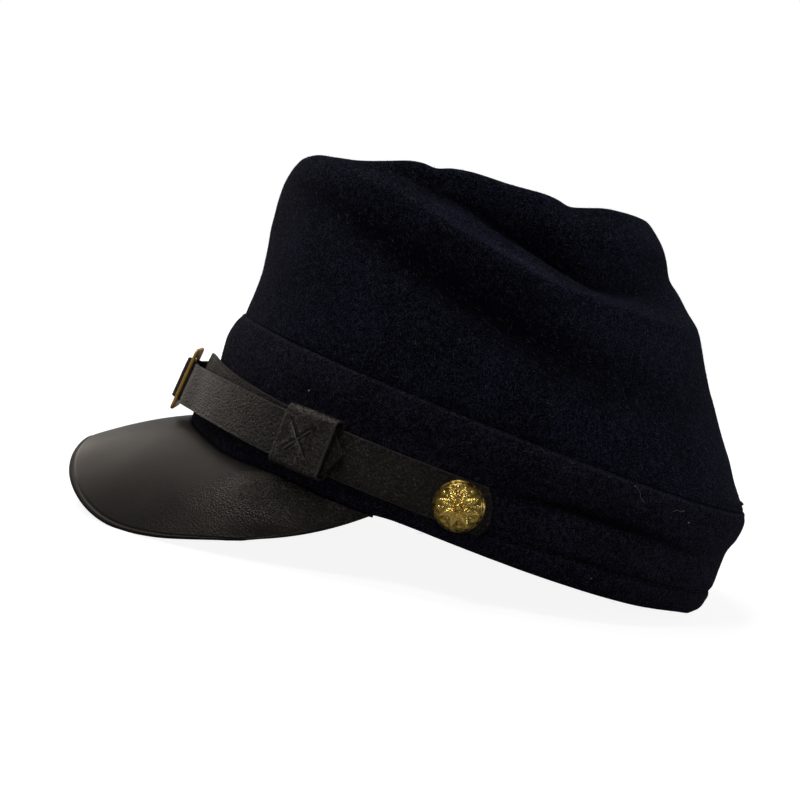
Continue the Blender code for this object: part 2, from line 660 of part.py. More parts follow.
def button_rings():
    """Rings of the domed button, from its back to its crown: radius, height, leaf share."""
    radius = BUTTON_DIAMETER / 2
    dome_rise = BUTTON_RISE - BUTTON_EDGE * 1.5
    rings = [(radius - BUTTON_EDGE / 2, 0.0, 0), (radius, BUTTON_EDGE * 0.4, 0)]
    rings.append((radius, BUTTON_EDGE, 0))
    for share in BUTTON_SHARES:
        leaf = max(math.sin(math.pi * share / ROSETTE_REACH), 0)
        rings.append((radius * share, BUTTON_RISE - dome_rise * share**2.4, leaf))
    return rings


def build_button(name, angle, mat, collection, parent):
    """A stamped button: a dome with a rosette of plain leaves raised on it."""
    rows = []
    for radius, height, leaf in button_rings():
        row = []
        for i in range(BUTTON_SIDES):
            turn = 2 * math.pi * i / BUTTON_SIDES
            raised = ROSETTE_RISE * leaf * max(math.cos(ROSETTE_LEAVES * turn), 0)
            row.append((radius * math.cos(turn), radius * math.sin(turn), height + raised))
        rows.append(row)
    mesh = grid_mesh(name, rows, True, pole=(0, 0, BUTTON_RISE), foot=True)
    button = new_object(name, mesh, mat, collection, parent)
    outward = Vector((math.sin(angle), -math.cos(angle), 0))
    seat = band_point(angle, BUTTON_HEIGHT, STRAP_LIFT + LEATHER + BUTTON_SEAT)
    button.location = Vector(seat) * MM
    button.rotation_mode = "QUATERNION"
    button.rotation_quaternion = outward.to_track_quat("Z", "Y")
    return button


# ---- Rest pose ------------------------------------------------------------------
def world_points(pieces):
    """Every corner of some pieces, as they stand."""
    bpy.context.view_layer.update()
    graph = bpy.context.evaluated_depsgraph_get()
    shapes = [piece.evaluated_get(graph) for piece in pieces]
    return [shape.matrix_world @ vert.co for shape in shapes for vert in shape.data.vertices]


def flatten_where_it_rests(pieces, cutters):
    """Cut off what would sink below the table."""
    bm = bmesh.new()
    below = Matrix.Translation((0, 0, -TABLE_SIZE * MM / 2))
    bmesh.ops.create_cube(bm, size=TABLE_SIZE * MM, matrix=below)
    mesh = bpy.data.meshes.new("table")
    bm.to_mesh(mesh)
    bm.free()
    table = bpy.data.objects.new("table", mesh)
    cutters.objects.link(table)
    table.hide_render = True
    table.display_type = "WIRE"
    for piece in pieces:
        cut = piece.modifiers.new("flat where it rests", "BOOLEAN")
        cut.object = table
        cut.operation = "DIFFERENCE"


def centre_over_origin(pose, pieces):
    """Slide the cap along Y so that the middle of its box is over the origin."""
    reach = [point.y for point in world_points(pieces)]
    pose.location.y -= (min(reach) + max(reach)) / 2


def main():
    for old in list(bpy.data.objects):
        bpy.data.objects.remove(old)
    collection = bpy.data.collections.new("kepi_cap")
    cutters = bpy.data.collections.new("cutters")
    for group in (collection, cutters):
        bpy.context.scene.collection.children.link(group)

    pose = bpy.data.objects.new("rest_pose", None)
    collection.objects.link(pose)
    pose.rotation_euler.x = -math.radians(REST_PITCH)

    wool = material("navy_wool", (0.010, 0.011, 0.020), 0.95)
    top_wool = material("navy_wool_top", (0.011, 0.012, 0.021), 0.95)
    band_wool = material("navy_wool_band", (0.008, 0.009, 0.016), 0.95)
    peak_leather = material("black_peak_leather", (0.018, 0.016, 0.015), 0.38)
    strap_leather = material("black_strap_leather", (0.014, 0.012, 0.011), 0.5)
    brass = material("aged_brass", (0.52, 0.36, 0.12), 0.3, 1.0)

    band = build_band(band_wool, collection, pose)
    build_crown_side(wool, collection, pose)
    build_crown_top(top_wool, collection, pose)
    peak = build_peak(peak_leather, collection, pose)
    build_straps(strap_leather, collection, pose)
    build_keeper(strap_leather, collection, pose)
    build_buckle(brass, collection, pose, cutters)
    build_button("button_left", math.radians(BUTTON_ANGLE), brass, collection, pose)
    build_button("button_right", math.radians(-BUTTON_ANGLE), brass, collection, pose)
    lowest = min(point.z for point in world_points((band, peak)))
    pose.location.z = -lowest - FLATTENED * MM
    flatten_where_it_rests((band, peak), cutters)
    centre_over_origin(pose, (band, peak))


main()
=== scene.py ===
"""Kepi cap, dressed for its picture: wool with a nap, a creased leather peak, waxed
straps, a sewn keeper, a brass buckle and stamped buttons.

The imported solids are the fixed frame. Every piece here is worked out in the cap's own
frame, in millimetres, from the solids' own tables, refined in a few places: the origin is
the middle of the band's bottom edge, -Y is the front, +X is the wearer's left and +Z is up.
The rest pose then tips it back onto the table, as the solids are.
"""
import math

import bmesh
import bpy
import numpy as np
from mathutils import Matrix, Vector, noise


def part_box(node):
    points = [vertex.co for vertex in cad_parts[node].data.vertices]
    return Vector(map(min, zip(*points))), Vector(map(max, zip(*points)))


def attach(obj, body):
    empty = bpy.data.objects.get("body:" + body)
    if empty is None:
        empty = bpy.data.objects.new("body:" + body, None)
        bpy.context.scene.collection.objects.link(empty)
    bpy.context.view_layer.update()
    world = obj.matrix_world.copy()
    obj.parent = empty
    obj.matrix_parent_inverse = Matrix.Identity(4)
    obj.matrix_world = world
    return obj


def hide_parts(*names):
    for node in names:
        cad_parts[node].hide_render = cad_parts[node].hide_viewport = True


MM = 0.001
NUDGE = 0.03                   # small step, in radians or rows, for finding a normal

# ---- Driving dimensions (mm) -----------------------------
# They are the solids' own, but for what the picture needs finer: the band's flare in front,
# the front of its bottom edge and the back of its rows, the crown's back at the seam, the
# corners of the peak's edge, the straps' ends in front, and the buckle's bars.
WOOL = 2.5
TIP_CLOTH = 2.0
LEATHER = 1.3                  # thickness of the chin strap
INNER_STRAP_LEATHER = 1.0
PEAK_LEATHER = 2.2
PEAK_SKIVED = 1.0

BAND_HALF_WIDTH = 88.5
BAND_HALF_LENGTH = 107.0
BAND_CENTRE_Y = -0.8
HEAD_OVAL_POWER = 2.15
SEAM_HEIGHT = 42.8
SEAM_RISE_AT_ENDS = 0.9

TIP_OVAL_POWER = 2.05
TIP_DISH = 2.2

PEAK_CORNER_ANGLE = 69.6       # where the peak leaves the band, from the front
PEAK_OUTLINE_HALF_WIDTH = 83.6
PEAK_OUTLINE_LENGTH = 122.8
PEAK_OUTLINE_CENTRE_Y = -28.0
PEAK_OUTLINE_POWER = 2.6
PEAK_SIDE_ANGLE = 62.0
PEAK_CAMBER = 1.6
PEAK_CORNER_HOLLOW = 1.6
PEAK_SIDE_BOW = (0.8, -1.4)
PEAK_ROOT_HEIGHT = -0.3
PEAK_ROOT_OUTSIDE = 0.6
PEAK_MARGIN = 2.0

STRAP_WIDTH = 16.6
STRAP_LIFT = 0.7
BUTTON_DIAMETER = 17.4
BUTTON_RISE = 4.2
BUTTON_ANGLE = 86.5
BUTTON_HEIGHT = 14.6
BUTTON_EDGE = 1.0
BUTTON_SEAT = 0.7
ROSETTE_LEAVES = 8
BUTTON_SIDE = (
    # share of its radius, height above its back
    (1.012, 0.75), (1.012, 0.45), (1.0, 0.2), (0.97, 0.05), (0.9, 0.0), (0.3, 0.0),
)

BUCKLE_HEIGHT = 26.0
BUCKLE_WIDTH = 18.0
BUCKLE_BAR = 2.0
BUCKLE_END_BAR = 3.7           # its top and bottom are broader than its sides
BUCKLE_CENTRE_HEIGHT = 10.2
BUCKLE_FRONT_Y = -121.0
BUCKLE_DEPTH = 1.0
BUCKLE_PROUD = 0.3             # its worn face stands this much further forward
CENTRE_BAR_WIDTH = 1.6
CENTRE_BAR_DEPTH = 0.6
BUCKLE_SHIFT = 3.0
BUCKLE_TURN = 3.0
BUCKLE_LEAN = 3.5
BUCKLE_HOLD = (12.0, 34.0)     # x to which the straps go with the buckle, and lie freely

KEEPER_FROM_ANGLE = 47.6
KEEPER_TO_ANGLE = 58.2
KEEPER_BOTTOM = 3.4
KEEPER_TOP = 25.4
KEEPER_RISE = 1.0
KEEPER_LIFTS = (0.7, 7.1)
KEEPER_LEATHER = 1.1

REST_PITCH = 11.1

BAND_ROWS = (
    # name, height, front, side, back
    ("seam edge", 42.5, -0.4, 0.0, -1.6),
    ("top roll", 39.0, 1.6, 1.5, 0.2),
    ("crest", 32.5, 3.1, 1.7, -0.1),
    ("crease", 27.0, 3.0, 0.2, -1.7),
    ("below crease", 21.0, 2.2, 0.7, -1.9),
    ("above hem", 12.8, 1.5, 0.6, -1.9),
    ("hem stitching", 10.5, 1.2, 0.0, -2.4),
    ("hem", 8.0, 1.1, 0.5, -2.1),
    ("low hem", 3.2, 0.5, 0.2, -3.0),
    ("bottom edge", 0.1, -0.8, -1.3, -5.3),
)
EDGE_RISE_ENDS = 20.0
EDGE_RISES = (
    # angle, rise
    (0, -3.3), (10, -3.4), (18, -3.9), (28, -4.4), (35, -3.8), (42, -2.3), (50, -1.3),
    (60, -1.1), (67, -0.6), (74, 0.9), (87, 1.2), (110, 1.3), (135, 1.6), (150, 2.0),
    (166, 0.3), (180, 0.0),
)
FRONT_FLARE = 6.0              # of the band's lowest cloth, where the peak is sewn in
FLARE_ENDS = 14.0              # height
FLARE_POWER = 16               # how soon it ends round the sides
CROWN_ROWS = (
    # name, front_y, front_z, back_y, back_z, half_width
    ("seam", -107.4, 43.7, 104.0, 43.7, 88.4),
    ("above the seam", -107.2, 45.4, 103.6, 45.3, 88.6),
    ("low wall", -106.9, 52.0, 97.6, 52.0, 88.2),
    ("lower wall", -107.0, 60.0, 90.8, 61.0, 87.2),
    ("middle wall", -107.9, 67.5, 83.5, 70.0, 85.6),
    ("upper wall", -109.3, 75.0, 76.2, 80.5, 83.0),
    ("high wall", -110.4, 82.5, 70.2, 89.5, 80.0),
    ("shoulder", -111.3, 89.5, 64.2, 98.0, 76.8),
    ("under the rim", -111.8, 95.5, 56.4, 106.0, 73.4),
    ("rim's foot", -111.5, 100.0, 46.8, 115.4, 70.4),
    ("rim side", -110.6, 104.0, 40.8, 123.5, 68.2),
    ("rim shoulder", -108.4, 107.6, 34.6, 129.2, 65.4),
    ("rim top", -104.2, 109.6, 28.2, 133.6, 61.4),
    ("top seam", -98.6, 109.5, 23.2, 132.4, 57.2),
)
FOLD_ROWS = (
    # angle, ridge_height, ridge_rise, valley_height, valley_depth
    (0, 9.2, 0.0, 10.7, 0.0), (35, 9.9, 0.3, 11.2, 0.0), (60, 9.0, 1.5, 10.6, 2.8),
    (80, 7.8, 2.8, 9.7, 5.5), (100, 6.9, 3.2, 8.9, 7.6), (120, 6.7, 3.0, 8.2, 7.4),
    (145, 7.0, 2.0, 8.5, 4.5), (170, 7.5, 0.8, 9.3, 1.8), (195, 7.9, 0.0, 9.4, 0.9),
    (220, 7.2, 1.2, 8.8, 1.2), (245, 6.6, 2.0, 8.0, 3.6), (270, 6.9, 2.2, 8.3, 4.6),
    (300, 8.0, 1.2, 9.4, 2.6), (330, 9.0, 0.2, 10.4, 0.3),
)
VALLEY_WIDTH_ABOVE = 10.0
VALLEY_WIDTH_BELOW = 6.5
RIDGE_WIDTH = 7.0
FOLDS_FADE_AT_SEAM = 1.5
FOLDS_FADE_AT_TOP = 2.0
HOLLOW_WIDTH = 12.0
HOLLOW_ROWS = (
    # angle, height, depth
    (0, 8.0, 0.0), (20, 8.4, 0.4), (45, 7.4, 2.6), (70, 6.0, 3.8), (95, 4.9, 3.2),
    (118, 4.4, 1.6), (140, 4.2, 0.2), (180, 4.2, 0.0), (222, 4.2, 0.2), (255, 4.4, 2.2),
    (295, 5.2, 2.6), (330, 6.8, 0.4),
)
WAVES_FROM = 5.0               # row of the crown where the rim's waves start
WAVES_FULL = 11.0
RIM_WAVES = (
    # angle, lift
    (0, 0.0), (22, 0.2), (36, -0.6), (46, -0.5), (56, 0.9), (63, 2.0), (68, 1.9), (73, 0.8),
    (78, 1.6), (84, 1.6), (90, 0.9), (98, -0.2), (110, -1.2), (115, -2.1), (120, -3.5),
    (126, -2.6), (133, -1.1), (140, -0.4), (152, 0.2), (165, 0.5), (195, 0.0),
    (225, -1.2), (255, 1.6), (285, 1.2), (310, -1.0), (335, 0.6),
)
PEAK_EDGE_HEIGHTS = (
    # angle, height
    (-10, -31.0), (0, -27.8), (10, -31.0), (20, -36.4), (30, -40.8), (37, -41.2), (45, -37.7),
    (52, -32.8), (62, -25.2),
)
LEFT_STRAP_ON_BAND = (
    # angle, height, lift
    (92.1, 15.6, 0.0), (86.5, 15.4, 0.0), (80.0, 15.2, 0.0), (73.0, 15.0, 0.1),
    (67.0, 14.8, 0.6), (62.0, 14.7, 1.2), (57.5, 14.6, 1.4), (53.0, 14.5, 1.4),
    (48.0, 14.4, 1.4), (43.0, 14.4, 1.2), (38.0, 14.6, 0.9), (33.0, 14.9, 0.6),
    (28.0, 15.2, 0.5), (23.0, 15.6, 0.6), (18.0, 16.1, 0.9), (13.5, 16.6, 1.6),
    (10.0, 16.8, 2.3),
)
LEFT_STRAP_FOLD = (
    # x, y, height
    (12.0, -114.1, 16.7), (11.2, -114.2, 15.7), (7.5, -114.6, 15.7), (5.3, -115.2, 15.7),
    (3.3, -116.4, 15.7), (1.2, -118.2, 15.7), (-0.4, -118.75, 15.7), (-1.6, -119.2, 15.7),
    (-2.2, -120.2, 15.7), (-1.8, -121.0, 15.7), (-0.4, -121.4, 15.7), (1.2, -121.35, 15.7),
    (2.5, -120.3, 15.7), (3.8, -118.5, 15.7), (5.4, -117.1, 15.7), (8.0, -116.6, 15.7),
    (12.0, -116.0, 15.7), (17.0, -115.3, 15.7),
)
LEFT_STRAP_CUT_FROM = 1        # the point of its fold where its top edge is cut down
LEFT_STRAP_CUT = (7.2, 0.4, 1.8)  # how deep, and from how far before that point over how much
RIGHT_STRAP_REAR = (
    # angle, height, lift
    (-92.1, 15.5, 0.0), (-86.5, 15.4, 0.0), (-78.0, 15.2, 0.0), (-70.0, 14.8, 0.0),
    (-62.0, 14.2, 0.2), (-54.0, 13.4, 0.2), (-46.0, 12.6, 0.3), (-38.0, 11.8, 0.4),
    (-31.0, 11.1, 0.8), (-24.0, 10.5, 1.8), (-18.0, 10.1, 3.1),
)
RIGHT_STRAP_FRONT = (
    # x, y, height
    (-20.0, -116.2, 9.8), (-14.5, -117.5, 9.8), (-9.2, -118.2, 9.8), (-6.6, -118.5, 9.8),
    (-4.9, -120.0, 9.8), (-3.5, -121.6, 9.8), (-1.8, -122.7, 9.8), (0.0, -122.95, 9.8),
    (1.8, -122.7, 9.8), (3.5, -121.7, 9.8), (4.9, -120.0, 9.8), (6.6, -118.5, 9.8),
    (9.2, -118.2, 9.9), (14.5, -117.6, 10.1), (20.0, -116.5, 10.5),
)
RIGHT_STRAP_LEFT_END = (
    # angle, height, lift
    (15.5, 10.9, 4.8), (21.0, 11.5, 3.8), (27.0, 12.2, 3.2), (33.0, 12.6, 2.9),
    (38.5, 12.8, 2.9), (43.5, 12.9, 2.9), (48.0, 13.1, 2.9), (53.0, 13.5, 2.9),
    (57.4, 14.0, 2.9), (59.4, 14.5, 3.3), (61.3, 15.1, 4.0),
)

# ---- Detail that only the picture needs (mm) -------------
WOOL_COLUMNS = 440             # round the cap
CREASE_DEPTH = 1.3             # sharper bottom of the deep valley
CREASE_WIDTH = 2.0
LIP_RISE = 0.8                 # a sharper crest along the ridge below it
LIP_WIDTH = 3.0
DEEPEST_VALLEY = 7.6
DEEPEST_HOLLOW = 3.8
SEAM_TUCK = 0.8                # how far a seamed edge turns in
SEAM_ALLOWANCE = ((2.8, 0.1), (3.0, 3.4))  # (inward, up): the band's edge, behind the crown
SEAM_ROLL = (0.35, 41.9, 0.6)  # how proud, height, width: the band's edge below the seam
HEM_GROOVE = 0.55
HEM_GROOVE_WIDTH = 0.75
HEM_GROOVE_ENDS = (176.0, 20.0)  # degrees from the front, and over how many it fades
HEM_PULL = 0.12                # how much deeper each stitch draws it
HEM_ROLL = (0.22, -2.0, 1.5)   # how proud, height above the stitches, width
HEM_STITCH = 3.0
HEM_THREAD = 0.17
HEM_ROWS = (
    # angle, height of the hem's stitching
    (0, 9.6), (60, 8.4), (90, 8.1), (97, 8.3), (101, 8.9), (111, 9.9), (121, 10.3),
    (151, 10.2), (180, 10.2),
)
BAND_STRETCHES = (
    # from, to, rows of points
    (-0.3, 1.5, 7), (1.5, 8.0, 8), (8.0, 12.6, 22), (12.6, 24.0, 12), (24.0, 30.0, 8),
    (30.0, 38.0, 8), (38.0, 43.0, 12),
)
BAND_CREASE_WIDTH = 1.7
DEEPEST_BAND_CREASE = 1.4
BAND_CREASE_ROWS = (
    # angle, height, depth of a crease pressed into the band's sides
    (0, 22.0, 0.0), (86, 22.5, 0.0), (95, 23.2, 0.7), (100, 24.0, 1.2), (107, 25.5, 1.4),
    (119, 26.7, 1.4), (127, 26.9, 1.3), (133, 26.5, 1.1), (144, 25.2, 0.5), (152, 24.8, 0.0),
    (180, 24.8, 0.0),
)
# Unevenness of each surface, as layers of (height, size of its lumps, seed).
BAND_LUMPS = ((0.35, (26, 26, 16), 3.1), (0.16, (7, 7, 5), 8.2))
CROWN_LUMPS = ((0.55, (30, 30, 22), 5.3), (0.2, (9, 9, 7), 1.7))
TIP_LUMPS = ((0.6, 24, 9.4), (0.25, 8, 2.6))
KEEPER_LUMPS = ((0.26, (6, 6, 7), 1.3), (0.07, (2, 2, 2), 7.7))
TIP_TURN_DOWN = 1.3            # of the round top's edge, into its seam
EDGE_GROOVE_INSIDE = 2.3       # crease line pressed along the peak's edge
EDGE_GROOVE_DEPTH = 0.3
EDGE_GROOVE_WIDTH = 0.55
STRAP_ROUNDING = 0.35
STRAP_CREASE_INSIDE = 1.1
STRAP_CREASE_DEPTH = 0.12
STRAP_CREASE_WIDTH = 0.3
STRAP_SPACING = 0.7
STRAP_TIP = 0.2                # of the pointed end, above the strap's middle
# Painted shade on the straps: near black by the buckle, on the inner strap behind the outer one, and
# darker towards the rear and past the buttons.
BUCKLE_SHADE_ENDS = 13.4       # from the buckle's middle to where its shade ends
UNDER_STRAP_SHADE = 0.55       # of the inner strap, along the outer one
REAR_END_SHADE = 0.7           # of both straps, past their buttons
REAR_PART_SHADE = 0.4          # of both straps, ahead of their buttons
KEEPER_WIDTH = 18.4            # round the band
KEEPER_ROUNDING = 0.4
KEEPER_PUFF = 0.35             # how far its front swells out
KEEPER_CORNERS = (
    # lift end, height end, radius of the outer face
    ("outer", "top", 2.4), ("inner", "top", 1.7), ("inner", "bottom", 1.7),
    ("outer", "bottom", 2.2),
)
CROSS_STITCHES = (((-70.1, 19.5), (-61.2, 9.7)), ((-69.2, 8.2), (-61.1, 19.7)))  # (y, height)
STITCH_GROOVE = (-0.75, 0.0, 0.6)  # how proud, how far from the thread, width
STITCH_PUCKER = (0.3, 1.4, 0.7)
THREAD = 0.36
NAP_FIBRES = 15000
NAP_ON_CROWN = 0.68            # share of them; the others are on the band
NAP_LENGTH = (0.7, 2.0)
NAP_STAND = (0.05, 0.42)       # how far a fibre stands off the cloth
NAP_HALF_WIDTH = (0.02, 0.05)
LINT_LIFT = 0.35
LINT_FIBRE_LIFT = 0.45
LINT_FIBRE_RADIUS = 0.03
BERRIES = ((6.6, 0.62), (5.2, 0.42), (4.1, 0.3))  # from the button's middle, radius
LEAF_SHAPE = (1.2, 5.9, 1.3, 0.5)  # from the middle, length, half width, rise
BUTTON_RIM_LINE = (0.25, 0.915, 0.012)  # depth, share of the radius, width as a share
BUTTON_BOWL = (0.42, 0.97, 0.3)  # depth, where it starts and over how much, as shares
PEAK_GRAIN_SIDES = (0.54, 0.22)  # side where its grain starts, and over how much
PEAK_GRAIN_SHARE = (0.9, 0.08, 0.62)  # how much fades, from this share over so much
LINT_SPECKS = (
    # angle, height, half its size, on the band
    (47.9, 30.2, 0.36), (136.3, 35.6, 0.28), (119.6, 5.8, 0.2), (120.7, 41.6, 0.22),
)
LINT_FIBRES = (
    # angle and height of each bend
    ((120.7, 41.6), (121.9, 40.4), (122.4, 38.6), (123.6, 37.4)),
    ((131.0, 37.6), (132.0, 38.6), (133.2, 38.5), (134.1, 39.4)),
)


# ---- Small helpers ---------------------------------------
def smooth_table(rows, values, period=None):
    """Read a table of (place, number, ...) rows at many places, smoothly."""
    rows = np.array(rows, float)
    values = np.asarray(values, float)
    places, numbers = rows[:, 0], rows[:, 1:]
    if period:
        places = np.concatenate([places[-2:] - period, places, places[:2] + period])
        numbers = np.concatenate([numbers[-2:], numbers, numbers[:2]])
        values = (values - places[2]) % period + places[2]
    values = np.clip(values, places[0], places[-1])
    i = np.clip(np.searchsorted(places, values, side="right") - 1, 0, len(places) - 2)
    before, after = np.maximum(i - 1, 0), np.minimum(i + 2, len(places) - 1)
    step = (places[i + 1] - places[i])[..., None]
    u = (values - places[i])[..., None] / step
    slope_in = (numbers[i + 1] - numbers[before]) / (places[i + 1] - places[before])[..., None]
    slope_out = (numbers[after] - numbers[i]) / (places[after] - places[i])[..., None]
    result = ((2 * u**3 - 3 * u**2 + 1) * numbers[i] + (u**3 - 2 * u**2 + u) * slope_in * step
              + (3 * u**2 - 2 * u**3) * numbers[i + 1] + (u**3 - u**2) * slope_out * step)
    return np.moveaxis(result, -1, 0)


def oval_radius(angle, half_width, half_length, power):
    across = np.abs(np.sin(angle)) / half_width
    along = np.abs(np.cos(angle)) / half_length
    return (across**power + along**power) ** (-1 / power)


def dome(distance):
    """A smooth bump, 1 in its middle and near 0 past a distance of 1.5."""
    return np.exp(-1.4 * distance**2)


def hump(distance, width):
    """A smooth bump of this half width, 1 in its middle."""
    return np.exp(-(distance / width) ** 2)


def ease(value):
    """0 below 0, 1 above 1, and smooth between."""
    value = np.clip(value, 0, 1)
    return value * value * (3 - 2 * value)


def unit(vectors):
    return vectors / np.linalg.norm(vectors, axis=-1, keepdims=True)


def lumps(points, size, seed=0.0):
    """Soft noise of about -1 to 1 whose lumps are about this big, in mm or (x, y, z) mm."""
    scaled = (np.asarray(points) / np.asarray(size) + seed).reshape(-1, 3)
    values = [noise.noise(Vector(spot)) for spot in scaled.tolist()]
    return np.array(values).reshape(np.shape(points)[:-1])


def rough(points, layers):
    """Layers of lumps, each given as (height, size, seed)."""
    return sum(height * lumps(points, size, seed) for height, size, seed in layers)


def outward_at(angle):
    """The way that the band faces at an angle from the front."""
    return np.stack((np.sin(angle), -np.cos(angle), 0 * angle), -1)


def from_front(angle):
    """Degrees from the front, 0 to 180 on either side."""
    return np.degrees(np.arccos(np.cos(angle)))


def cap_pose():
    """The rest pose as (turn, offset in metres), set by the left button's solid."""
    turn = np.array(Matrix.Rotation(-math.radians(REST_PITCH), 3, "X"))
    low, high = (np.array(corner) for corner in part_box("button_left"))
    seat, outward = button_place(BUTTON_ANGLE)
    rim_middle = seat + outward * BUTTON_EDGE * 0.7
    offset = (low + high) / 2 - turn @ rim_middle * MM
    offset[0] = 0.0
    return turn, offset


def to_world(points):
    """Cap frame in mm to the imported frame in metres, with nothing below the table."""
    turn, offset = POSE
    world = np.asarray(points, float) @ turn.T * MM + offset
    world[..., 2] = np.maximum(world[..., 2], 0.0)
    return world


def grid_faces(rows, columns, closed=True, looped=False, start=0):
    """Faces of a grid of points. Closed joins its last column to the first, looped its rows."""
    i, j = np.meshgrid(np.arange(rows if looped else rows - 1),
                       np.arange(columns if closed else columns - 1), indexing="ij")
    k, m = (j + 1) % columns, (i + 1) % rows
    corners = (i * columns + j, i * columns + k, m * columns + k, m * columns + j)
    return (np.stack(corners, -1).reshape(-1, 4) + start).tolist()


def new_piece(name, points, faces, mat, slot, node=None, masks=None):
    """A piece in the cap's place. Masks are numbers per point that its material reads."""
    mesh = bpy.data.meshes.new(name)
    mesh.from_pydata(to_world(np.reshape(points, (-1, 3))).tolist(), [], faces)
    for mask, values in (masks or {}).items():
        layer = mesh.attributes.new(mask, "FLOAT", "POINT")
        layer.data.foreach_set("value", np.asarray(values, np.float32).ravel())
    mesh.materials.append(mat)
    mesh.shade_smooth()
    piece = bpy.data.objects.new(name, mesh)
    bpy.context.scene.collection.objects.link(piece)
    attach(piece, "root")
    if node:
        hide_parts(node)
    return piece


def fan(start, count, centre, flip=False):
    """Triangles from a ring of points, numbered from start, to one centre point."""
    ring = [(start + i, start + (i + 1) % count) for i in range(count)]
    return [(b, a, centre) if flip else (a, b, centre) for a, b in ring]


def capped(grid):
    """Points and faces of a tube of closed rings, with a centre point at each end."""
    rings, columns = grid.shape[:2]
    count = rings * columns
    faces = grid_faces(rings, columns) + fan(0, columns, count, flip=True)
    faces += fan(count - columns, columns, count + 1)
    ends = np.stack((grid[0].mean(0), grid[-1].mean(0)))
    return np.concatenate((grid.reshape(-1, 3), ends)), faces


def tidy_mesh(piece):
    """Join points that coincide and turn every face outward."""
    bm = bmesh.new()
    bm.from_mesh(piece.data)
    bmesh.ops.remove_doubles(bm, verts=bm.verts, dist=0.00002)
    bmesh.ops.recalc_face_normals(bm, faces=bm.faces)
    bm.to_mesh(piece.data)
    bm.free()


def thicken(piece, thickness):
    shell = piece.modifiers.new("thickness", "SOLIDIFY")
    shell.thickness = thickness * MM
    shell.offset = -1.0


# ---- Wool: band and crown --------------------------------
def around():
    return np.linspace(0, 2 * math.pi, WOOL_COLUMNS, endpoint=False)


def seam_lift(angle):
    return SEAM_RISE_AT_ENDS * np.cos(angle) ** 4


def edge_rise(angle, height=0.0):
    """The band's bottom edge isn't level: it dips at the peak and rises at the sides."""
    fade = np.maximum(1 - height / EDGE_RISE_ENDS, 0)
    return fade * smooth_table(EDGE_RISES, from_front(angle))[0]


def front_flare(angle, height=0.0):
    """The peak draws the band's lowest cloth forward in front."""
    fade = np.maximum(1 - height / FLARE_ENDS, 0)
    return FRONT_FLARE * fade * np.maximum(np.cos(angle), 0) ** FLARE_POWER


def band_point(angle, height, lift=0.0):
    """Points on the band's outer face, or lifted off it."""
    table = [row[1:] for row in reversed(BAND_ROWS)]
    angle, height = np.broadcast_arrays(np.asarray(angle, float), np.asarray(height, float))
    front, side, back = smooth_table(table, height)
    end = np.where(np.cos(angle) > 0, front, back)
    radius = oval_radius(angle, BAND_HALF_WIDTH, BAND_HALF_LENGTH, HEAD_OVAL_POWER)
    radius = radius + side + (end - side) * np.cos(angle) ** 2 + lift
    return np.stack((radius * np.sin(angle), BAND_CENTRE_Y - radius * np.cos(angle), height), -1)


def band_rise(angle, height):
    """How much higher the band's cloth lies than its nominal height."""
    return height / SEAM_HEIGHT * seam_lift(angle) + edge_rise(angle, height)


def cloth_point(angle, height, lift):
    """Points on the band's cloth as it lies, or lifted off it."""
    spot = band_point(angle, height, lift)
    spot[..., 2] += band_rise(angle, height)
    return spot


def build_band(mat):
    heights = [np.linspace(*stretch, endpoint=False) for stretch in BAND_STRETCHES]
    heights = np.append(np.concatenate(heights), BAND_STRETCHES[-1][1])
    angle, height = np.meshgrid(around(), heights)
    points = band_point(angle, height, front_flare(angle, height))
    turn = from_front(angle)
    above_hem = height - smooth_table(HEM_ROWS, turn)[0] - 0.25 * lumps(points, 9, 2.7)
    hem_ends, hem_fade = HEM_GROOVE_ENDS
    in_hem = ease((hem_ends - turn) / hem_fade)
    groove = in_hem * hump(above_hem, HEM_GROOVE_WIDTH)
    stitches = np.cos(angle * BAND_HALF_LENGTH * 2 * math.pi / HEM_STITCH)
    push = -groove * (HEM_GROOVE + HEM_PULL * stitches)
    proud, place, width = HEM_ROLL
    push += in_hem * proud * hump(above_hem - place, width)
    crease_height, crease_depth = smooth_table(BAND_CREASE_ROWS, turn)
    from_crease = height - crease_height - 1.2 * lumps(points, (18, 18, 60), 6.6)
    crease = np.maximum(crease_depth, 0) * hump(from_crease, BAND_CREASE_WIDTH)
    push -= crease
    proud, place, width = SEAM_ROLL
    push += proud * hump(height - place, width)
    push -= SEAM_TUCK * ease((height - place - 0.5) / 0.7)
    push += rough(points, BAND_LUMPS) - 0.5 * ease((0.6 - height) / 0.9)
    outward = outward_at(angle)
    points += outward * push[..., None]
    points[..., 2] += band_rise(angle, height)
    inside = [points[-1] - outward[-1] * inward + np.array((0, 0, up))
              for inward, up in SEAM_ALLOWANCE]
    grid = np.concatenate((points, inside))
    # Painted shade darkens the cloth in the side crease and in the hem's groove; a painted highlight
    # lightens the rolled edge under the seam.
    masks = {"shade": np.clip(crease / DEEPEST_BAND_CREASE + 0.9 * groove, 0, 1),
             "painted_highlight": hump(height - place - 0.1, 0.5)}
    masks = {name: np.concatenate((mask, mask[-1:], mask[-1:])) for name, mask in masks.items()}
    band = new_piece("wool_band", grid, grid_faces(*grid.shape[:2]), mat, "band_wool", "band",
                     masks)
    thicken(band, WOOL)
    return points


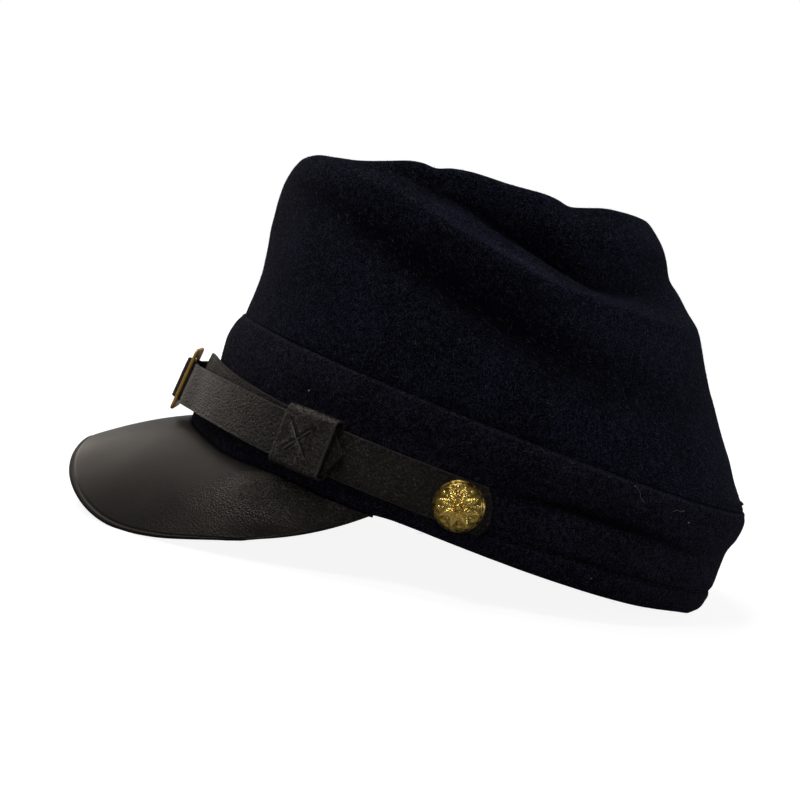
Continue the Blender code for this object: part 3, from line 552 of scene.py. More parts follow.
def crown_base(angle, height):
    """The crown's wall without its folds; height counts rows of CROWN_ROWS."""
    table = [(i, *row[1:]) for i, row in enumerate(CROWN_ROWS)]
    front_y, front_z, back_y, back_z, half_width = smooth_table(table, height)
    centre_y, half_length = (front_y + back_y) / 2, (back_y - front_y) / 2
    share = height / (len(CROWN_ROWS) - 1)
    power = HEAD_OVAL_POWER + (TIP_OVAL_POWER - HEAD_OVAL_POWER) * share
    radius = oval_radius(angle, half_width, half_length, power)
    x, y = radius * np.sin(angle), centre_y - radius * np.cos(angle)
    z = (front_z + back_z) / 2 + (y - centre_y) / half_length * (back_z - front_z) / 2
    z = z + (1 - share) ** 6 * (seam_lift(angle) - SEAM_RISE_AT_ENDS)
    rim_share = np.clip((height - WAVES_FROM) / (WAVES_FULL - WAVES_FROM), 0, 1) ** 2
    z = z + rim_share * smooth_table(RIM_WAVES, np.degrees(angle), period=360)[0]
    return np.stack((x, y, z), -1)


def crown_points(angle, height):
    """The folded wall, with the creases, puckers and turned-in edges of real cloth."""
    top = len(CROWN_ROWS) - 1
    centre = crown_base(angle, height)
    turned = crown_base(angle + NUDGE, height) - crown_base(angle - NUDGE, height)
    above, below = np.minimum(height + NUDGE, top), np.maximum(height - NUDGE, 0)
    up = crown_base(angle, above) - crown_base(angle, below)
    normal = unit(np.cross(turned, up))
    row_height = np.linalg.norm(up, axis=-1) / (above - below)
    degrees = np.degrees(angle)
    ridge, rise, valley, depth = smooth_table(FOLD_ROWS, degrees, period=360)
    hollow, sag = smooth_table(HOLLOW_ROWS, degrees, period=360)
    from_valley = (height - valley) * row_height
    valley_width = np.where(height > valley, VALLEY_WIDTH_ABOVE, VALLEY_WIDTH_BELOW)
    push = rise * dome((height - ridge) * row_height / RIDGE_WIDTH)
    push -= depth * dome(from_valley / valley_width)
    push -= sag * dome((height - hollow) * row_height / HOLLOW_WIDTH)
    sharpness = ease((depth - 2.5) / (DEEPEST_VALLEY - 2.5))
    push -= sharpness * CREASE_DEPTH * dome(from_valley / CREASE_WIDTH)
    push += sharpness * LIP_RISE * dome((height - ridge) * row_height / LIP_WIDTH)
    push += rough(centre, CROWN_LUMPS)
    push = push * np.minimum(height / FOLDS_FADE_AT_SEAM, 1)
    push = push * np.minimum((top - height) / FOLDS_FADE_AT_TOP, 1)
    push -= SEAM_TUCK * (ease((0.3 - height) / 0.3) + ease((height - top + 0.3) / 0.3))
    return centre + normal * push[..., None]


def crown_masks(angle, height):
    """Masks of painted colour: painted shade in the valley, in the hollow below it and along the seam,
    and a painted highlight along the ridge's crest.
    """
    degrees = np.degrees(angle)
    ridge, _, valley, depth = smooth_table(FOLD_ROWS, degrees, period=360)
    hollow, sag = smooth_table(HOLLOW_ROWS, degrees, period=360)
    shade = 0.6 * depth / DEEPEST_VALLEY * dome((height - valley) / 0.8)
    shade = shade + 1.1 * (np.maximum(sag, 0) / DEEPEST_HOLLOW) ** 0.7 * dome((height - hollow) / 1.25)
    shade = shade + 0.8 * ease((0.28 - height) / 0.22)
    above_ridge = 0.35 - 0.95 * ease((degrees - 99) / 15)
    # Painted highlight along the crest of the ridge.
    painted_highlight = depth / DEEPEST_VALLEY * dome((height - ridge - above_ridge) / 0.75)
    return {"shade": np.clip(shade, 0, 1), "painted_highlight": np.clip(painted_highlight, 0, 1)}


def crown_heights(angle):
    """Rows of the crown at each angle; one follows the ridge, another the valley."""
    ridge, _, valley, _ = smooth_table(FOLD_ROWS, np.degrees(angle), period=360)
    top = len(CROWN_ROWS) - 1
    level = 0 * ridge
    stretches = ((level, level + 0.5, 8), (level + 0.5, ridge, 30), (ridge, valley, 20),
                 (valley, level + top - 0.5, 32), (level + top - 0.5, level + top, 10))
    rows = [np.linspace(low, high, count, endpoint=False) for low, high, count in stretches]
    return np.concatenate(rows + [level[None] + top])


def build_crown_side(mat):
    height = crown_heights(around())
    angle = np.broadcast_to(around(), height.shape)
    points = crown_points(angle, height)
    crown = new_piece("wool_crown", points, grid_faces(*height.shape), mat, "crown_wool",
                      "crown_side", crown_masks(angle, height))
    thicken(crown, WOOL)
    return points


def build_crown_top(mat):
    """The round top, sunk a little, rumpled, its edge turned down into the seam."""
    angle = around()[::2]
    edge = crown_base(angle, np.full_like(angle, len(CROWN_ROWS) - 1))
    middle = edge.mean(0)
    shares = 1 - np.linspace(0, 1, 64, endpoint=False)[:, None] ** 1.25
    rings = middle + (edge - middle) * shares[..., None]
    rings[..., 2] -= TIP_DISH * (1 - shares**2)
    rings[..., 2] += rough(rings, TIP_LUMPS) * ease((1 - shares) * 8)
    rings[..., 2] -= TIP_TURN_DOWN * ease((shares - 0.975) / 0.025)
    points = np.concatenate((rings.reshape(-1, 3), rings[-1:].mean(1)))
    faces = grid_faces(*rings.shape[:2])
    faces += fan(len(points) - 1 - len(angle), len(angle), len(points) - 1)
    tip = new_piece("wool_crown_top", points, faces, mat, "crown_wool", "crown_top")
    thicken(tip, TIP_CLOTH)


# ---- Peak ------------------------------------------------
def peak_surface(side, share):
    """Points on the peak's upper face; side is -1 to 1, share 0 at the band, 1 at the edge."""
    root_angle = np.radians(PEAK_CORNER_ANGLE) * side
    root = band_point(root_angle, np.zeros_like(side), PEAK_ROOT_OUTSIDE + front_flare(root_angle))
    root[..., 2] = PEAK_ROOT_HEIGHT + edge_rise(root_angle)
    edge_angle = PEAK_SIDE_ANGLE * side
    turn = np.radians(edge_angle)
    radius = oval_radius(turn, PEAK_OUTLINE_HALF_WIDTH, PEAK_OUTLINE_LENGTH, PEAK_OUTLINE_POWER)
    height = smooth_table(PEAK_EDGE_HEIGHTS, np.abs(edge_angle))[0]
    edge = np.stack((radius * np.sin(turn), PEAK_OUTLINE_CENTRE_Y - radius * np.cos(turn),
                     height), -1)
    spot = root + (edge - root) * share[..., None]
    camber = PEAK_CAMBER * (1 - PEAK_CORNER_HOLLOW * np.abs(side) ** 8)
    arch = 4 * share * (1 - share)
    spot[..., 2] += camber * arch
    spot[..., 1:] += np.array(PEAK_SIDE_BOW) * (arch * np.abs(side) ** 12)[..., None]
    return spot


def peak_normal(side, share):
    """Upward, away from the corners, where the leather bends too sharply for one."""
    across = peak_surface(side + NUDGE, share) - peak_surface(side - NUDGE, share)
    along = peak_surface(side, share + NUDGE) - peak_surface(side, share - NUDGE)
    return unit(np.cross(along, across))


def build_peak(mat):
    """The leather as a pillow: an upper and a lower face that meet in rounded edges."""
    steps = np.linspace(-1, 1, 241)
    sides = 0.72 * steps + 0.28 * np.sin(math.pi / 2 * steps)
    near_edge = 1 - 0.1 * (1 - np.linspace(0, 1, 26)) ** 1.7
    shares = np.concatenate((np.linspace(0, 0.9, 60, endpoint=False), near_edge))
    side, share = np.meshgrid(sides, shares)
    upper = peak_surface(side, share)
    normal = peak_normal(np.clip(side, -0.95, 0.95), np.clip(share, NUDGE, 1 - NUDGE))
    length = np.cumsum(np.linalg.norm(np.diff(upper, axis=0, prepend=upper[:1]), axis=-1), 0)
    to_edge = length[-1] - length
    width = np.cumsum(np.linalg.norm(np.diff(upper, axis=1, prepend=upper[:, :1]), axis=-1), 1)
    to_side = np.minimum(width, width[:, -1:] - width)
    inside = np.minimum(to_edge, to_side)

    half = PEAK_LEATHER / 2
    round_off = half * (1 - np.sqrt(1 - (1 - np.clip(inside / half, 0, 1)) ** 2))
    sink = round_off + EDGE_GROOVE_DEPTH * hump(inside - EDGE_GROOVE_INSIDE, EDGE_GROOVE_WIDTH)
    sink -= 0.16 * lumps(upper, 22, 4.4) * ease(inside / 8)
    skive = (PEAK_LEATHER - PEAK_SKIVED) * (1 - ease(length / 7))
    lower = upper - normal * (PEAK_LEATHER - round_off - skive)[..., None]
    upper = upper - normal * sink[..., None]

    root_angle = np.radians(PEAK_CORNER_ANGLE) * sides
    root = band_point(root_angle, 0.0, front_flare(root_angle) - PEAK_MARGIN)
    root[:, 2] = PEAK_ROOT_HEIGHT + edge_rise(root_angle)
    under = root - np.array((0, 0, PEAK_SKIVED))
    points = np.concatenate((root[None], upper, under[None], lower))
    rows, columns = len(points) // 2, len(sides)
    count = rows * columns
    faces = grid_faces(rows, columns, closed=False)
    faces += [face[::-1] for face in grid_faces(rows, columns, closed=False, start=count)]
    index = np.arange(count).reshape(rows, columns)
    for line in (index[0], index[:, -1], index[-1, ::-1], index[::-1, 0]):
        faces += [(a, b, b + count, a + count) for a, b in zip(line.tolist(), line[1:].tolist())]
    inside = np.concatenate((inside[:1], inside))
    share = np.concatenate((share[:1], share))
    grain_from, over = PEAK_GRAIN_SIDES
    grain = ease((np.abs(sides) - grain_from) / over)
    faded, faded_from, over = PEAK_GRAIN_SHARE
    grain = grain * (1 - faded * ease((share - faded_from) / over))
    masks = {"inside": np.concatenate((inside, inside)), "grain": np.concatenate((grain, grain))}
    tidy_mesh(new_piece("leather_peak", points, faces, mat, "peak_leather", "peak", masks))


# ---- Chin strap ------------------------------------------
def front_turn(points):
    """Carry the buckle, and the straps near it, off the middle, turned and leaning."""
    pivot = np.array((0, BUCKLE_FRONT_Y, BUCKLE_CENTRE_HEIGHT))
    turn = np.array(Matrix.Rotation(math.radians(BUCKLE_TURN), 3, "Z"))
    lean = np.array(Matrix.Rotation(math.radians(-BUCKLE_LEAN), 3, "X"))
    held, free = BUCKLE_HOLD
    share = ease((free - np.abs(points[..., :1])) / (free - held))
    share = np.where(points[..., 1:2] > 0, 0.0, share)
    moved = (points - pivot) @ (turn @ lean).T + pivot + np.array((BUCKLE_SHIFT, 0, 0))
    return points + (moved - points) * share


def on_band(table):
    """Stations of a strap that lies on the band: middle of its inner face, and height."""
    angle, height, lift = np.array(table, float).T
    return band_point(np.radians(angle), height, STRAP_LIFT + lift + LEATHER / 2)


def along_path(stations, spacing):
    """Even stations on a smooth curve through the given ones, and how far along each is."""
    steps = np.linalg.norm(np.diff(stations, axis=0), axis=1)
    places = np.concatenate(((0,), np.cumsum(steps)))
    even = np.linspace(0, places[-1], int(places[-1] / spacing) + 1)
    return smooth_table(np.column_stack((places, stations)), even).T, even


def strap_section(thickness):
    """Rounded section: share of the half width, mm inside it, and mm off the middle face."""
    half, r = thickness / 2, STRAP_ROUNDING
    across = np.linspace(-1, 1, 27)
    across = np.sign(across) * (0.55 * np.abs(across) + 0.45 * np.abs(across) ** 0.35)
    section = [(a, r, half) for a in across]
    corner = [(math.cos(t), math.sin(t)) for t in np.radians((65, 35, 10))]
    section += [(1, r - r * c, half - r + r * s) for c, s in corner]
    section += [(1, r - r * c, r - half - r * s) for c, s in reversed(corner)]
    section += [(a, r, -half) for a in np.linspace(1, -1, 9)]
    section += [(-1, r - r * c, r - half - r * s) for c, s in corner]
    section += [(-1, r - r * c, half - r + r * s) for c, s in reversed(corner)]
    return np.array(section)


def build_strap(name, node, stations, ends, thickness, outer, mat):
    """A strap along its stations. ends gives the top and bottom edge at places along it."""
    path, place = along_path(stations, STRAP_SPACING)
    plan = path[:, :2]
    ahead = unit(np.gradient(plan, axis=0))
    side = np.stack((-ahead[:, 1], ahead[:, 0], 0 * place), -1) * outer
    top, bottom = ends(place, place[-1])
    across, inset, off = strap_section(thickness).T
    middle, half = (top + bottom) / 2, (top - bottom) / 2
    height = middle[:, None] + across * np.maximum(half[:, None] - inset, 0.02)
    from_edge = np.minimum(top[:, None] - height, height - bottom[:, None])
    front = off > thickness / 2 - 0.01
    flat = 0 * height
    drawn = np.stack((place[:, None] + flat, height, flat), -1)
    waves = 0.07 * lumps(drawn, (5, 9, 5), 2.2 + outer) + 0.035 * lumps(drawn, (1.6, 4, 2), 6.1)
    relief = waves * ease(from_edge / 1.5)
    relief -= STRAP_CREASE_DEPTH * hump(from_edge - STRAP_CREASE_INSIDE, STRAP_CREASE_WIDTH)
    points = path[:, None] + np.stack((flat, flat, height), -1)
    points = points + side[:, None] * (off + front * relief)[..., None]
    points, faces = capped(front_turn(points))
    x, y, _ = points.T
    # Painted shade, carried by the mask named shade: by the buckle's bars, on the inner strap where
    # the outer one hides it, and darker towards the rear.
    shade = ease((BUCKLE_SHADE_ENDS - np.abs(x - BUCKLE_SHIFT)) / 1.6) * (y < -100)
    if outer > 0:
        behind = ease((x - 19) / 14) * ease((-64 - y) / 10)
        shade = np.maximum(shade, UNDER_STRAP_SHADE * behind)
    shade = np.maximum(shade, REAR_PART_SHADE * ease((y + 52) / 46))
    shade = np.maximum(shade, REAR_END_SHADE * ease((y - 2.5) / 4))
    masks = {"inside": np.append(from_edge, (0, 0)), "shade": shade}
    tidy_mesh(new_piece(name, points, faces, mat, "strap_leather", node, masks))


def rear_end(place):
    """The rear end is cut round behind the button, more from its top than its bottom."""
    half = STRAP_WIDTH / 2
    top = -2.0 + (half + 2.0) * np.clip(place / 4.9, 0, 1) ** 0.62
    bottom = -3.0 - (half - 3.0) * np.clip(place / 2.4, 0, 1) ** 0.6
    return top, bottom


def right_strap_ends(place, length):
    """The free end runs to a point above its middle."""
    top, bottom = rear_end(place)
    top = STRAP_TIP + (top - STRAP_TIP) * np.clip((length - place) / 7.0, 0.02, 1) ** 0.92
    bottom = STRAP_TIP + (bottom - STRAP_TIP) * np.clip((length - place) / 5.1, 0.02, 1) ** 0.92
    return top, bottom


def build_straps(mat):
    rear = ((94.0, 15.3, 0.0), (93.0, 15.5, 0.0))
    on_cloth = on_band(rear + LEFT_STRAP_ON_BAND)
    left = np.concatenate((on_cloth, LEFT_STRAP_FOLD))
    uncut = len(on_cloth) + LEFT_STRAP_CUT_FROM
    cut_at = np.linalg.norm(np.diff(left[:uncut], axis=0), axis=1).sum()
    depth, before, over = LEFT_STRAP_CUT

    def left_strap_ends(place, _):
        """The top edge steps down where the strap turns back round the buckle's bar."""
        top, bottom = rear_end(place)
        return top - depth * ease((place - cut_at + before) / over), bottom

    build_strap("strap_left_leather", "strap_left", left, left_strap_ends, INNER_STRAP_LEATHER,
                1.0, mat)
    rear = ((-94.0, 15.3, 0.0), (-93.0, 15.4, 0.0))
    right = np.concatenate((on_band(rear + RIGHT_STRAP_REAR), RIGHT_STRAP_FRONT,
                            on_band(RIGHT_STRAP_LEFT_END)))
    build_strap("strap_right_leather", "strap_right", right, right_strap_ends, LEATHER,
                -1.0, mat)


# ---- Keeper ----------------------------------------------
def keeper_loop():
    """The loop's outer line as (lift, height) and its outward direction."""
    inner, outer = KEEPER_LIFTS
    line = []
    for number, (across, end, radius) in enumerate(KEEPER_CORNERS):
        lift = outer - radius if across == "outer" else inner + radius
        height = KEEPER_TOP - radius if end == "top" else KEEPER_BOTTOM + radius
        for t in np.radians(90 * number + np.linspace(0, 90, 13)):
            line.append((lift + radius * math.cos(t), height + radius * math.sin(t),
                         math.cos(t), math.sin(t)))
    line = np.array(line)
    dense = []
    for here, there in zip(line, np.roll(line, -1, axis=0)):
        count = max(1, int(np.linalg.norm((there - here)[:2]) / 0.35))
        dense += [here + (there - here) * share for share in np.arange(count) / count]
    dense = np.array(dense)
    return dense[:, :2], unit(dense[:, 2:])


def distance_to_line(spots, start, end):
    start, end = np.array(start), np.array(end)
    run = end - start
    share = np.clip(((spots - start) @ run) / (run @ run), 0, 1)
    return np.linalg.norm(spots - start - share[..., None] * run, axis=-1)


def build_keeper(mat):
    """Leather swept round both straps, with a rounded edge and pulled-in cross stitches."""
    loop, normals = keeper_loop()
    half = KEEPER_LEATHER / 2
    rounding = KEEPER_ROUNDING / KEEPER_WIDTH
    corner = [(rounding * math.cos(t), half * math.sin(t) - half)
              for t in np.radians((60, 25, 0, -25, -60))]
    section = [(share, 0.0) for share in np.linspace(0, 1, 49)]
    section += [(1 + out, depth) for out, depth in corner]
    section += [(share, -KEEPER_LEATHER) for share in np.linspace(1, 0, 13)]
    section += [(-out, depth) for out, depth in reversed(corner)]
    place, depth = np.array(section).T
    outer_face = depth > -0.01
    is_front = np.clip(normals[:, :1], 0, 1) ** 2
    angle = math.radians(KEEPER_TO_ANGLE)
    angle = angle + math.radians(KEEPER_FROM_ANGLE - KEEPER_TO_ANGLE) * place
    angle = np.broadcast_to(angle, (len(loop), len(place)))
    puff = KEEPER_PUFF * is_front * np.sin(np.pi * np.clip(place, 0, 1)) * outer_face
    lift = loop[:, :1] + normals[:, :1] * (depth + puff)
    points = band_point(angle, BUTTON_HEIGHT) + outward_at(angle) * lift[..., None]
    points[..., 2] = loop[:, 1:] + normals[:, 1:] * depth + KEEPER_RISE * (0.5 - place)
    push = np.zeros(angle.shape)
    for start, end in CROSS_STITCHES:
        gap = distance_to_line(points[..., 1:], start, end)
        push += sum(proud * hump(gap - away, width)
                    for proud, away, width in (STITCH_GROOVE, STITCH_PUCKER))
    push = (push * is_front + rough(points, KEEPER_LUMPS)) * outer_face
    outward = outward_at(angle) * normals[:, :1, None]
    outward[..., 2] = normals[:, 1:]
    points += outward * push[..., None]
    inside = np.broadcast_to(np.minimum(place, 1 - place) * KEEPER_WIDTH, angle.shape)
    masks = {"inside": inside, "shade": 0 * inside}
    faces = grid_faces(*angle.shape, looped=True)
    tidy_mesh(new_piece("leather_keeper", points, faces, mat, "strap_leather", "keeper", masks))
    build_cross_stitches(points[is_front[:, 0] > 0.9].reshape(-1, 3))


def tube(path, radius, sides=8):
    """Points and faces of a round thread along a path, its ends drawn in."""
    path = np.asarray(path, float)
    ahead = unit(np.gradient(path, axis=0))
    level = np.array((0.13, 0.21, 0.97))
    first = unit(np.cross(ahead, level))
    second = np.cross(ahead, first)
    turn = np.linspace(0, 2 * math.pi, sides, endpoint=False)
    share = np.linspace(0, 1, len(path))
    thickness = radius * np.sqrt(np.clip(1 - (2 * share - 1) ** 10, 0.02, 1))
    ring = first[:, None] * np.cos(turn)[:, None] + second[:, None] * np.sin(turn)[:, None]
    points = path[:, None] + ring * thickness[:, None, None]
    return points.reshape(-1, 3), grid_faces(len(path), sides)


def join(parts):
    """Several (points, faces) as one."""
    points, faces, start = [], [], 0
    for part_points, part_faces in parts:
        points.append(part_points)
        faces += [tuple(corner + start for corner in face) for face in part_faces]
        start += len(part_points)
    return np.concatenate(points), faces


def build_cross_stitches(front):
    """Two long waxed threads, sunk in the keeper's front; one crosses over the other."""
    parts = []
    for number, (start, end) in enumerate(CROSS_STITCHES):
        share = np.linspace(0, 1, 28)
        line = np.array(start) + (np.array(end) - np.array(start)) * share[:, None]
        x = [front[np.argmin(((front[:, 1:] - spot) ** 2).sum(1) - front[:, 0] * 1e-3), 0]
             for spot in line]
        x = np.convolve(np.pad(x, 2, mode="edge"), np.ones(5) / 5, mode="valid")
        over = 0.34 * hump(share - 0.5, 0.09) * (number == 0)
        ends_in = 0.45 * (2 * np.abs(share - 0.5)) ** 8
        outward = np.array((0.75, -0.66, 0.0))
        path = np.column_stack((x, line)) + outward * (0.12 + over - ends_in)[:, None]
        parts.append(tube(path, THREAD))
    new_piece("keeper_stitches", *join(parts), MATERIALS["thread"], "strap_leather")


# ---- Brass -----------------------------------------------
def rounded_rectangle(half_width, half_height, radius):
    """A closed line of points: each corner's arc, then those along the side after it."""
    corners = []
    for sx, sz, start in ((1, 1, 0), (-1, 1, 90), (-1, -1, 180), (1, -1, 270)):
        t = np.radians(start + np.linspace(0, 90, 6))
        corners.append(np.column_stack((sx * (half_width - radius) + radius * np.cos(t),
                                        sz * (half_height - radius) + radius * np.sin(t))))
    points = []
    for arc, following in zip(corners, corners[1:] + corners[:1]):
        points += [arc, np.linspace(arc[-1], following[0], 16)[1:-1]]
    return np.concatenate(points)


def bar_section(width, depth, rounding):
    """Offsets across and in depth round a rounded bar."""
    points = []
    for number, (sx, sy) in enumerate(((1, 1), (-1, 1), (-1, -1), (1, -1))):
        t = np.radians(90 * number + np.linspace(0, 90, 4))
        points.append(np.column_stack((sx * (width / 2 - rounding) + rounding * np.cos(t),
                                       sy * (depth / 2 - rounding) + rounding * np.sin(t))))
    return np.concatenate(points)


def build_buckle(mat):
    """A cast rectangular slide with soft edges, smoothed by long use, and a thinner centre bar."""
    full_depth = BUCKLE_DEPTH + BUCKLE_PROUD
    back_y = BUCKLE_FRONT_Y + BUCKLE_DEPTH
    rings = []
    for outward, depth in bar_section(BUCKLE_BAR, full_depth, 0.4):
        end_outward = outward * BUCKLE_END_BAR / BUCKLE_BAR
        line = rounded_rectangle((BUCKLE_WIDTH - BUCKLE_BAR) / 2 + outward,
                                 (BUCKLE_HEIGHT - BUCKLE_END_BAR) / 2 + end_outward,
                                 max(0.9 + outward, 0.25))
        rings.append(np.insert(line, 1, back_y - full_depth / 2 + depth, axis=1))
    outline = np.array(rings)
    bar = bar_section(CENTRE_BAR_WIDTH, CENTRE_BAR_DEPTH, 0.3)
    bar[:, 1] += back_y - CENTRE_BAR_DEPTH / 2
    reach = (BUCKLE_HEIGHT - BUCKLE_BAR) / 2
    bars = np.array([np.column_stack((bar, np.full(len(bar), height)))
                     for height in np.linspace(-reach, reach, 24)])
    points, faces = join(((outline.reshape(-1, 3), grid_faces(*outline.shape[:2], looped=True)),
                          (bars.reshape(-1, 3), grid_faces(*bars.shape[:2]))))
    points[:, 2] += BUCKLE_CENTRE_HEIGHT
    points = points + 0.05 * np.stack([lumps(points, 2.6, seed) for seed in (1, 5, 9)], -1)
    tidy_mesh(new_piece("brass_buckle", front_turn(points), faces, mat, "brass", "buckle"))


def button_place(angle):
    """Where a button sits, and the way that it faces."""
    turn = np.radians(angle)
    return band_point(turn, BUTTON_HEIGHT, STRAP_LIFT + LEATHER + BUTTON_SEAT), outward_at(turn)


def leaf(u, v, turn, start, length, width, rise):
    """Height of one stamped leaf that points outward, with its midrib and side veins."""
    along = (u * math.cos(turn) + v * math.sin(turn) - start) / length
    across = v * math.cos(turn) - u * math.sin(turn)
    inside = (along > 0) & (along < 1)
    along = np.clip(along, 0, 1)
    breadth = width * np.sin(math.pi * along**0.75) ** 0.75 + 1e-6
    edge = np.clip(1 - (across / breadth) ** 2, 0, 1)
    veins = 0.22 * np.cos(along * 34 - np.abs(across) * 7)
    rib = 0.5 * hump(across, 0.13)
    return inside * (rise * np.sqrt(edge) * (1 + veins) - rib * rise * (edge > 0))


def stamped_relief(u, v, radius):
    """A rosette of plain leaves and berries on a stippled ground, inside a plain rim."""
    share = np.hypot(u, v) / radius
    relief = 0.45 * np.sqrt(np.clip(1 - (share / 0.12) ** 2, 0, 1))
    for number in range(ROSETTE_LEAVES):
        turn = 2 * math.pi * number / ROSETTE_LEAVES
        relief = np.maximum(relief, leaf(u, v, turn, *LEAF_SHAPE))
        turn += math.pi / ROSETTE_LEAVES
        for reach, size in BERRIES:
            gap = np.hypot(u - reach * math.cos(turn), v - reach * math.sin(turn))
            relief = np.maximum(relief, 0.36 * np.sqrt(np.clip(1 - (gap / size) ** 2, 0, 1)))
    ground = 1 - np.clip(relief / 0.12, 0, 1)
    spots = np.stack((u, v, 0 * u), -1)
    stipple = np.abs(lumps(spots, 0.36, 3.0)) + 0.5 * np.abs(lumps(spots, 0.7, 5.0))
    relief = relief + 0.16 * stipple * (0.4 + ground) * (share < 0.9)
    return relief * ease((0.93 - share) / 0.05)


def build_button(name, node, angle, mat):
    radius = BUTTON_DIAMETER / 2
    shares = np.concatenate((np.linspace(0.01, 0.9, 78), np.linspace(0.91, 1.0, 12)))
    turn = np.linspace(0, 2 * math.pi, 224, endpoint=False)
    share = np.append(shares, [share for share, _ in BUTTON_SIDE])[:, None]
    u, v = radius * share * np.cos(turn), radius * share * np.sin(turn)
    share = shares[:, None]
    relief = stamped_relief(u[:len(shares)], v[:len(shares)], radius)
    dome_rise = BUTTON_RISE - BUTTON_EDGE * 1.5
    rise = BUTTON_RISE - dome_rise * share**2.4 - BUTTON_EDGE * 0.5 * ease((share - 0.86) / 0.14)
    depth, place, width = BUTTON_RIM_LINE
    rise = rise - depth * hump(share - place, width)
    depth, place, width = BUTTON_BOWL
    rise = rise - depth * ease((place - share) / width)
    side = np.array([height for _, height in BUTTON_SIDE])[:, None] + 0 * turn
    out = np.concatenate((rise + relief, side))
    seat, outward = button_place(angle)
    up = np.array((0.0, 0.0, 1.0))
    across = np.cross(up, outward)
    points, faces = capped(seat + u[..., None] * across + v[..., None] * up
                           + out[..., None] * outward)
    high = np.zeros(len(points))
    high[:relief.size] = np.clip(relief / 0.4, 0, 1).ravel()
    tidy_mesh(new_piece(name, points, faces, mat, "brass", node, {"high": high}))


# ---- Loose fibres ----------------------------------------
def build_nap(crown, band, mat):
    """Short fibres standing off the wool, as thin flat hairs in one mesh."""
    chance = np.random.default_rng(11)
    points, faces = [], []
    for grid, share in ((crown, NAP_ON_CROWN), (band, 1 - NAP_ON_CROWN)):
        ahead = unit(np.gradient(grid, axis=1))
        up = unit(np.gradient(grid, axis=0))
        normal = unit(np.cross(ahead, up))
        edge = np.linalg.norm(np.gradient(grid, axis=0), axis=-1)
        weight = (edge / edge.sum()).ravel()
        for pick in chance.choice(edge.size, round(NAP_FIBRES * share), p=weight):
            i, j = divmod(pick, grid.shape[1])
            jitter = chance.uniform(-0.7, 0.7, 2)
            root = grid[i, j] + ahead[i, j] * jitter[0] + up[i, j] * jitter[1]
            turn = chance.uniform(0, 2 * math.pi)
            lie = ahead[i, j] * math.cos(turn) + up[i, j] * math.sin(turn)
            bend = np.cross(normal[i, j], lie) * chance.uniform(-0.5, 0.5)
            length = chance.uniform(*NAP_LENGTH)
            stand = chance.uniform(*NAP_STAND)
            wide = np.cross(normal[i, j], lie) * chance.uniform(*NAP_HALF_WIDTH)
            start = len(points)
            for step in (0.0, 0.4, 0.75, 1.0):
                lift = stand * math.sin(math.pi * min(step * 0.8, 1)) - 0.05 * (step == 0)
                spot = root + lie * length * step + bend * step**2 + normal[i, j] * lift
                points += [spot - wide * (1 - 0.6 * step), spot + wide * (1 - 0.6 * step)]
            faces += [(start + k, start + k + 1, start + k + 3, start + k + 2) for k in (0, 2, 4)]
    new_piece("wool_nap", np.array(points), faces, mat, "crown_wool")


def build_hem_stitches(mat):
    """Short dark stitches sunk in the hem's groove, all the way round."""
    chance = np.random.default_rng(5)
    parts = []
    count = int(math.pi * (BAND_HALF_WIDTH + BAND_HALF_LENGTH) / HEM_STITCH)
    steps = np.linspace(-1, 1, 6)
    for number in range(count):
        middle = 2 * math.pi * (number + chance.uniform(-0.12, 0.12)) / count
        angle = middle + steps * chance.uniform(0.28, 0.4) * 2 * math.pi / count
        height = smooth_table(HEM_ROWS, from_front(angle))[0]
        height = height + chance.uniform(-0.25, 0.25) * (1 + steps)
        sunk = HEM_GROOVE * 0.7 + 0.25 * steps**2
        path = cloth_point(angle, height, front_flare(angle, height) - sunk)
        parts.append(tube(path, HEM_THREAD, 5))
    new_piece("hem_stitches", *join(parts), mat, "band_wool")


def build_lint(mat):
    """A few specks and two loose fibres that the cloth has picked up."""
    parts = []
    for degrees, height, size in LINT_SPECKS:
        middle = cloth_point(np.radians(degrees), height, LINT_LIFT)
        path = middle + np.linspace(-1, 1, 7)[:, None] * size * np.array((0.1, 0.6, 0.8))
        parts.append(tube(path, size * 0.75, 7))
    for table in LINT_FIBRES:
        degrees, height = np.array(table).T
        path = cloth_point(np.radians(degrees), height, LINT_FIBRE_LIFT)
        parts.append(tube(along_path(path, 0.2)[0], LINT_FIBRE_RADIUS, 5))
    new_piece("lint", *join(parts), mat, "band_wool")


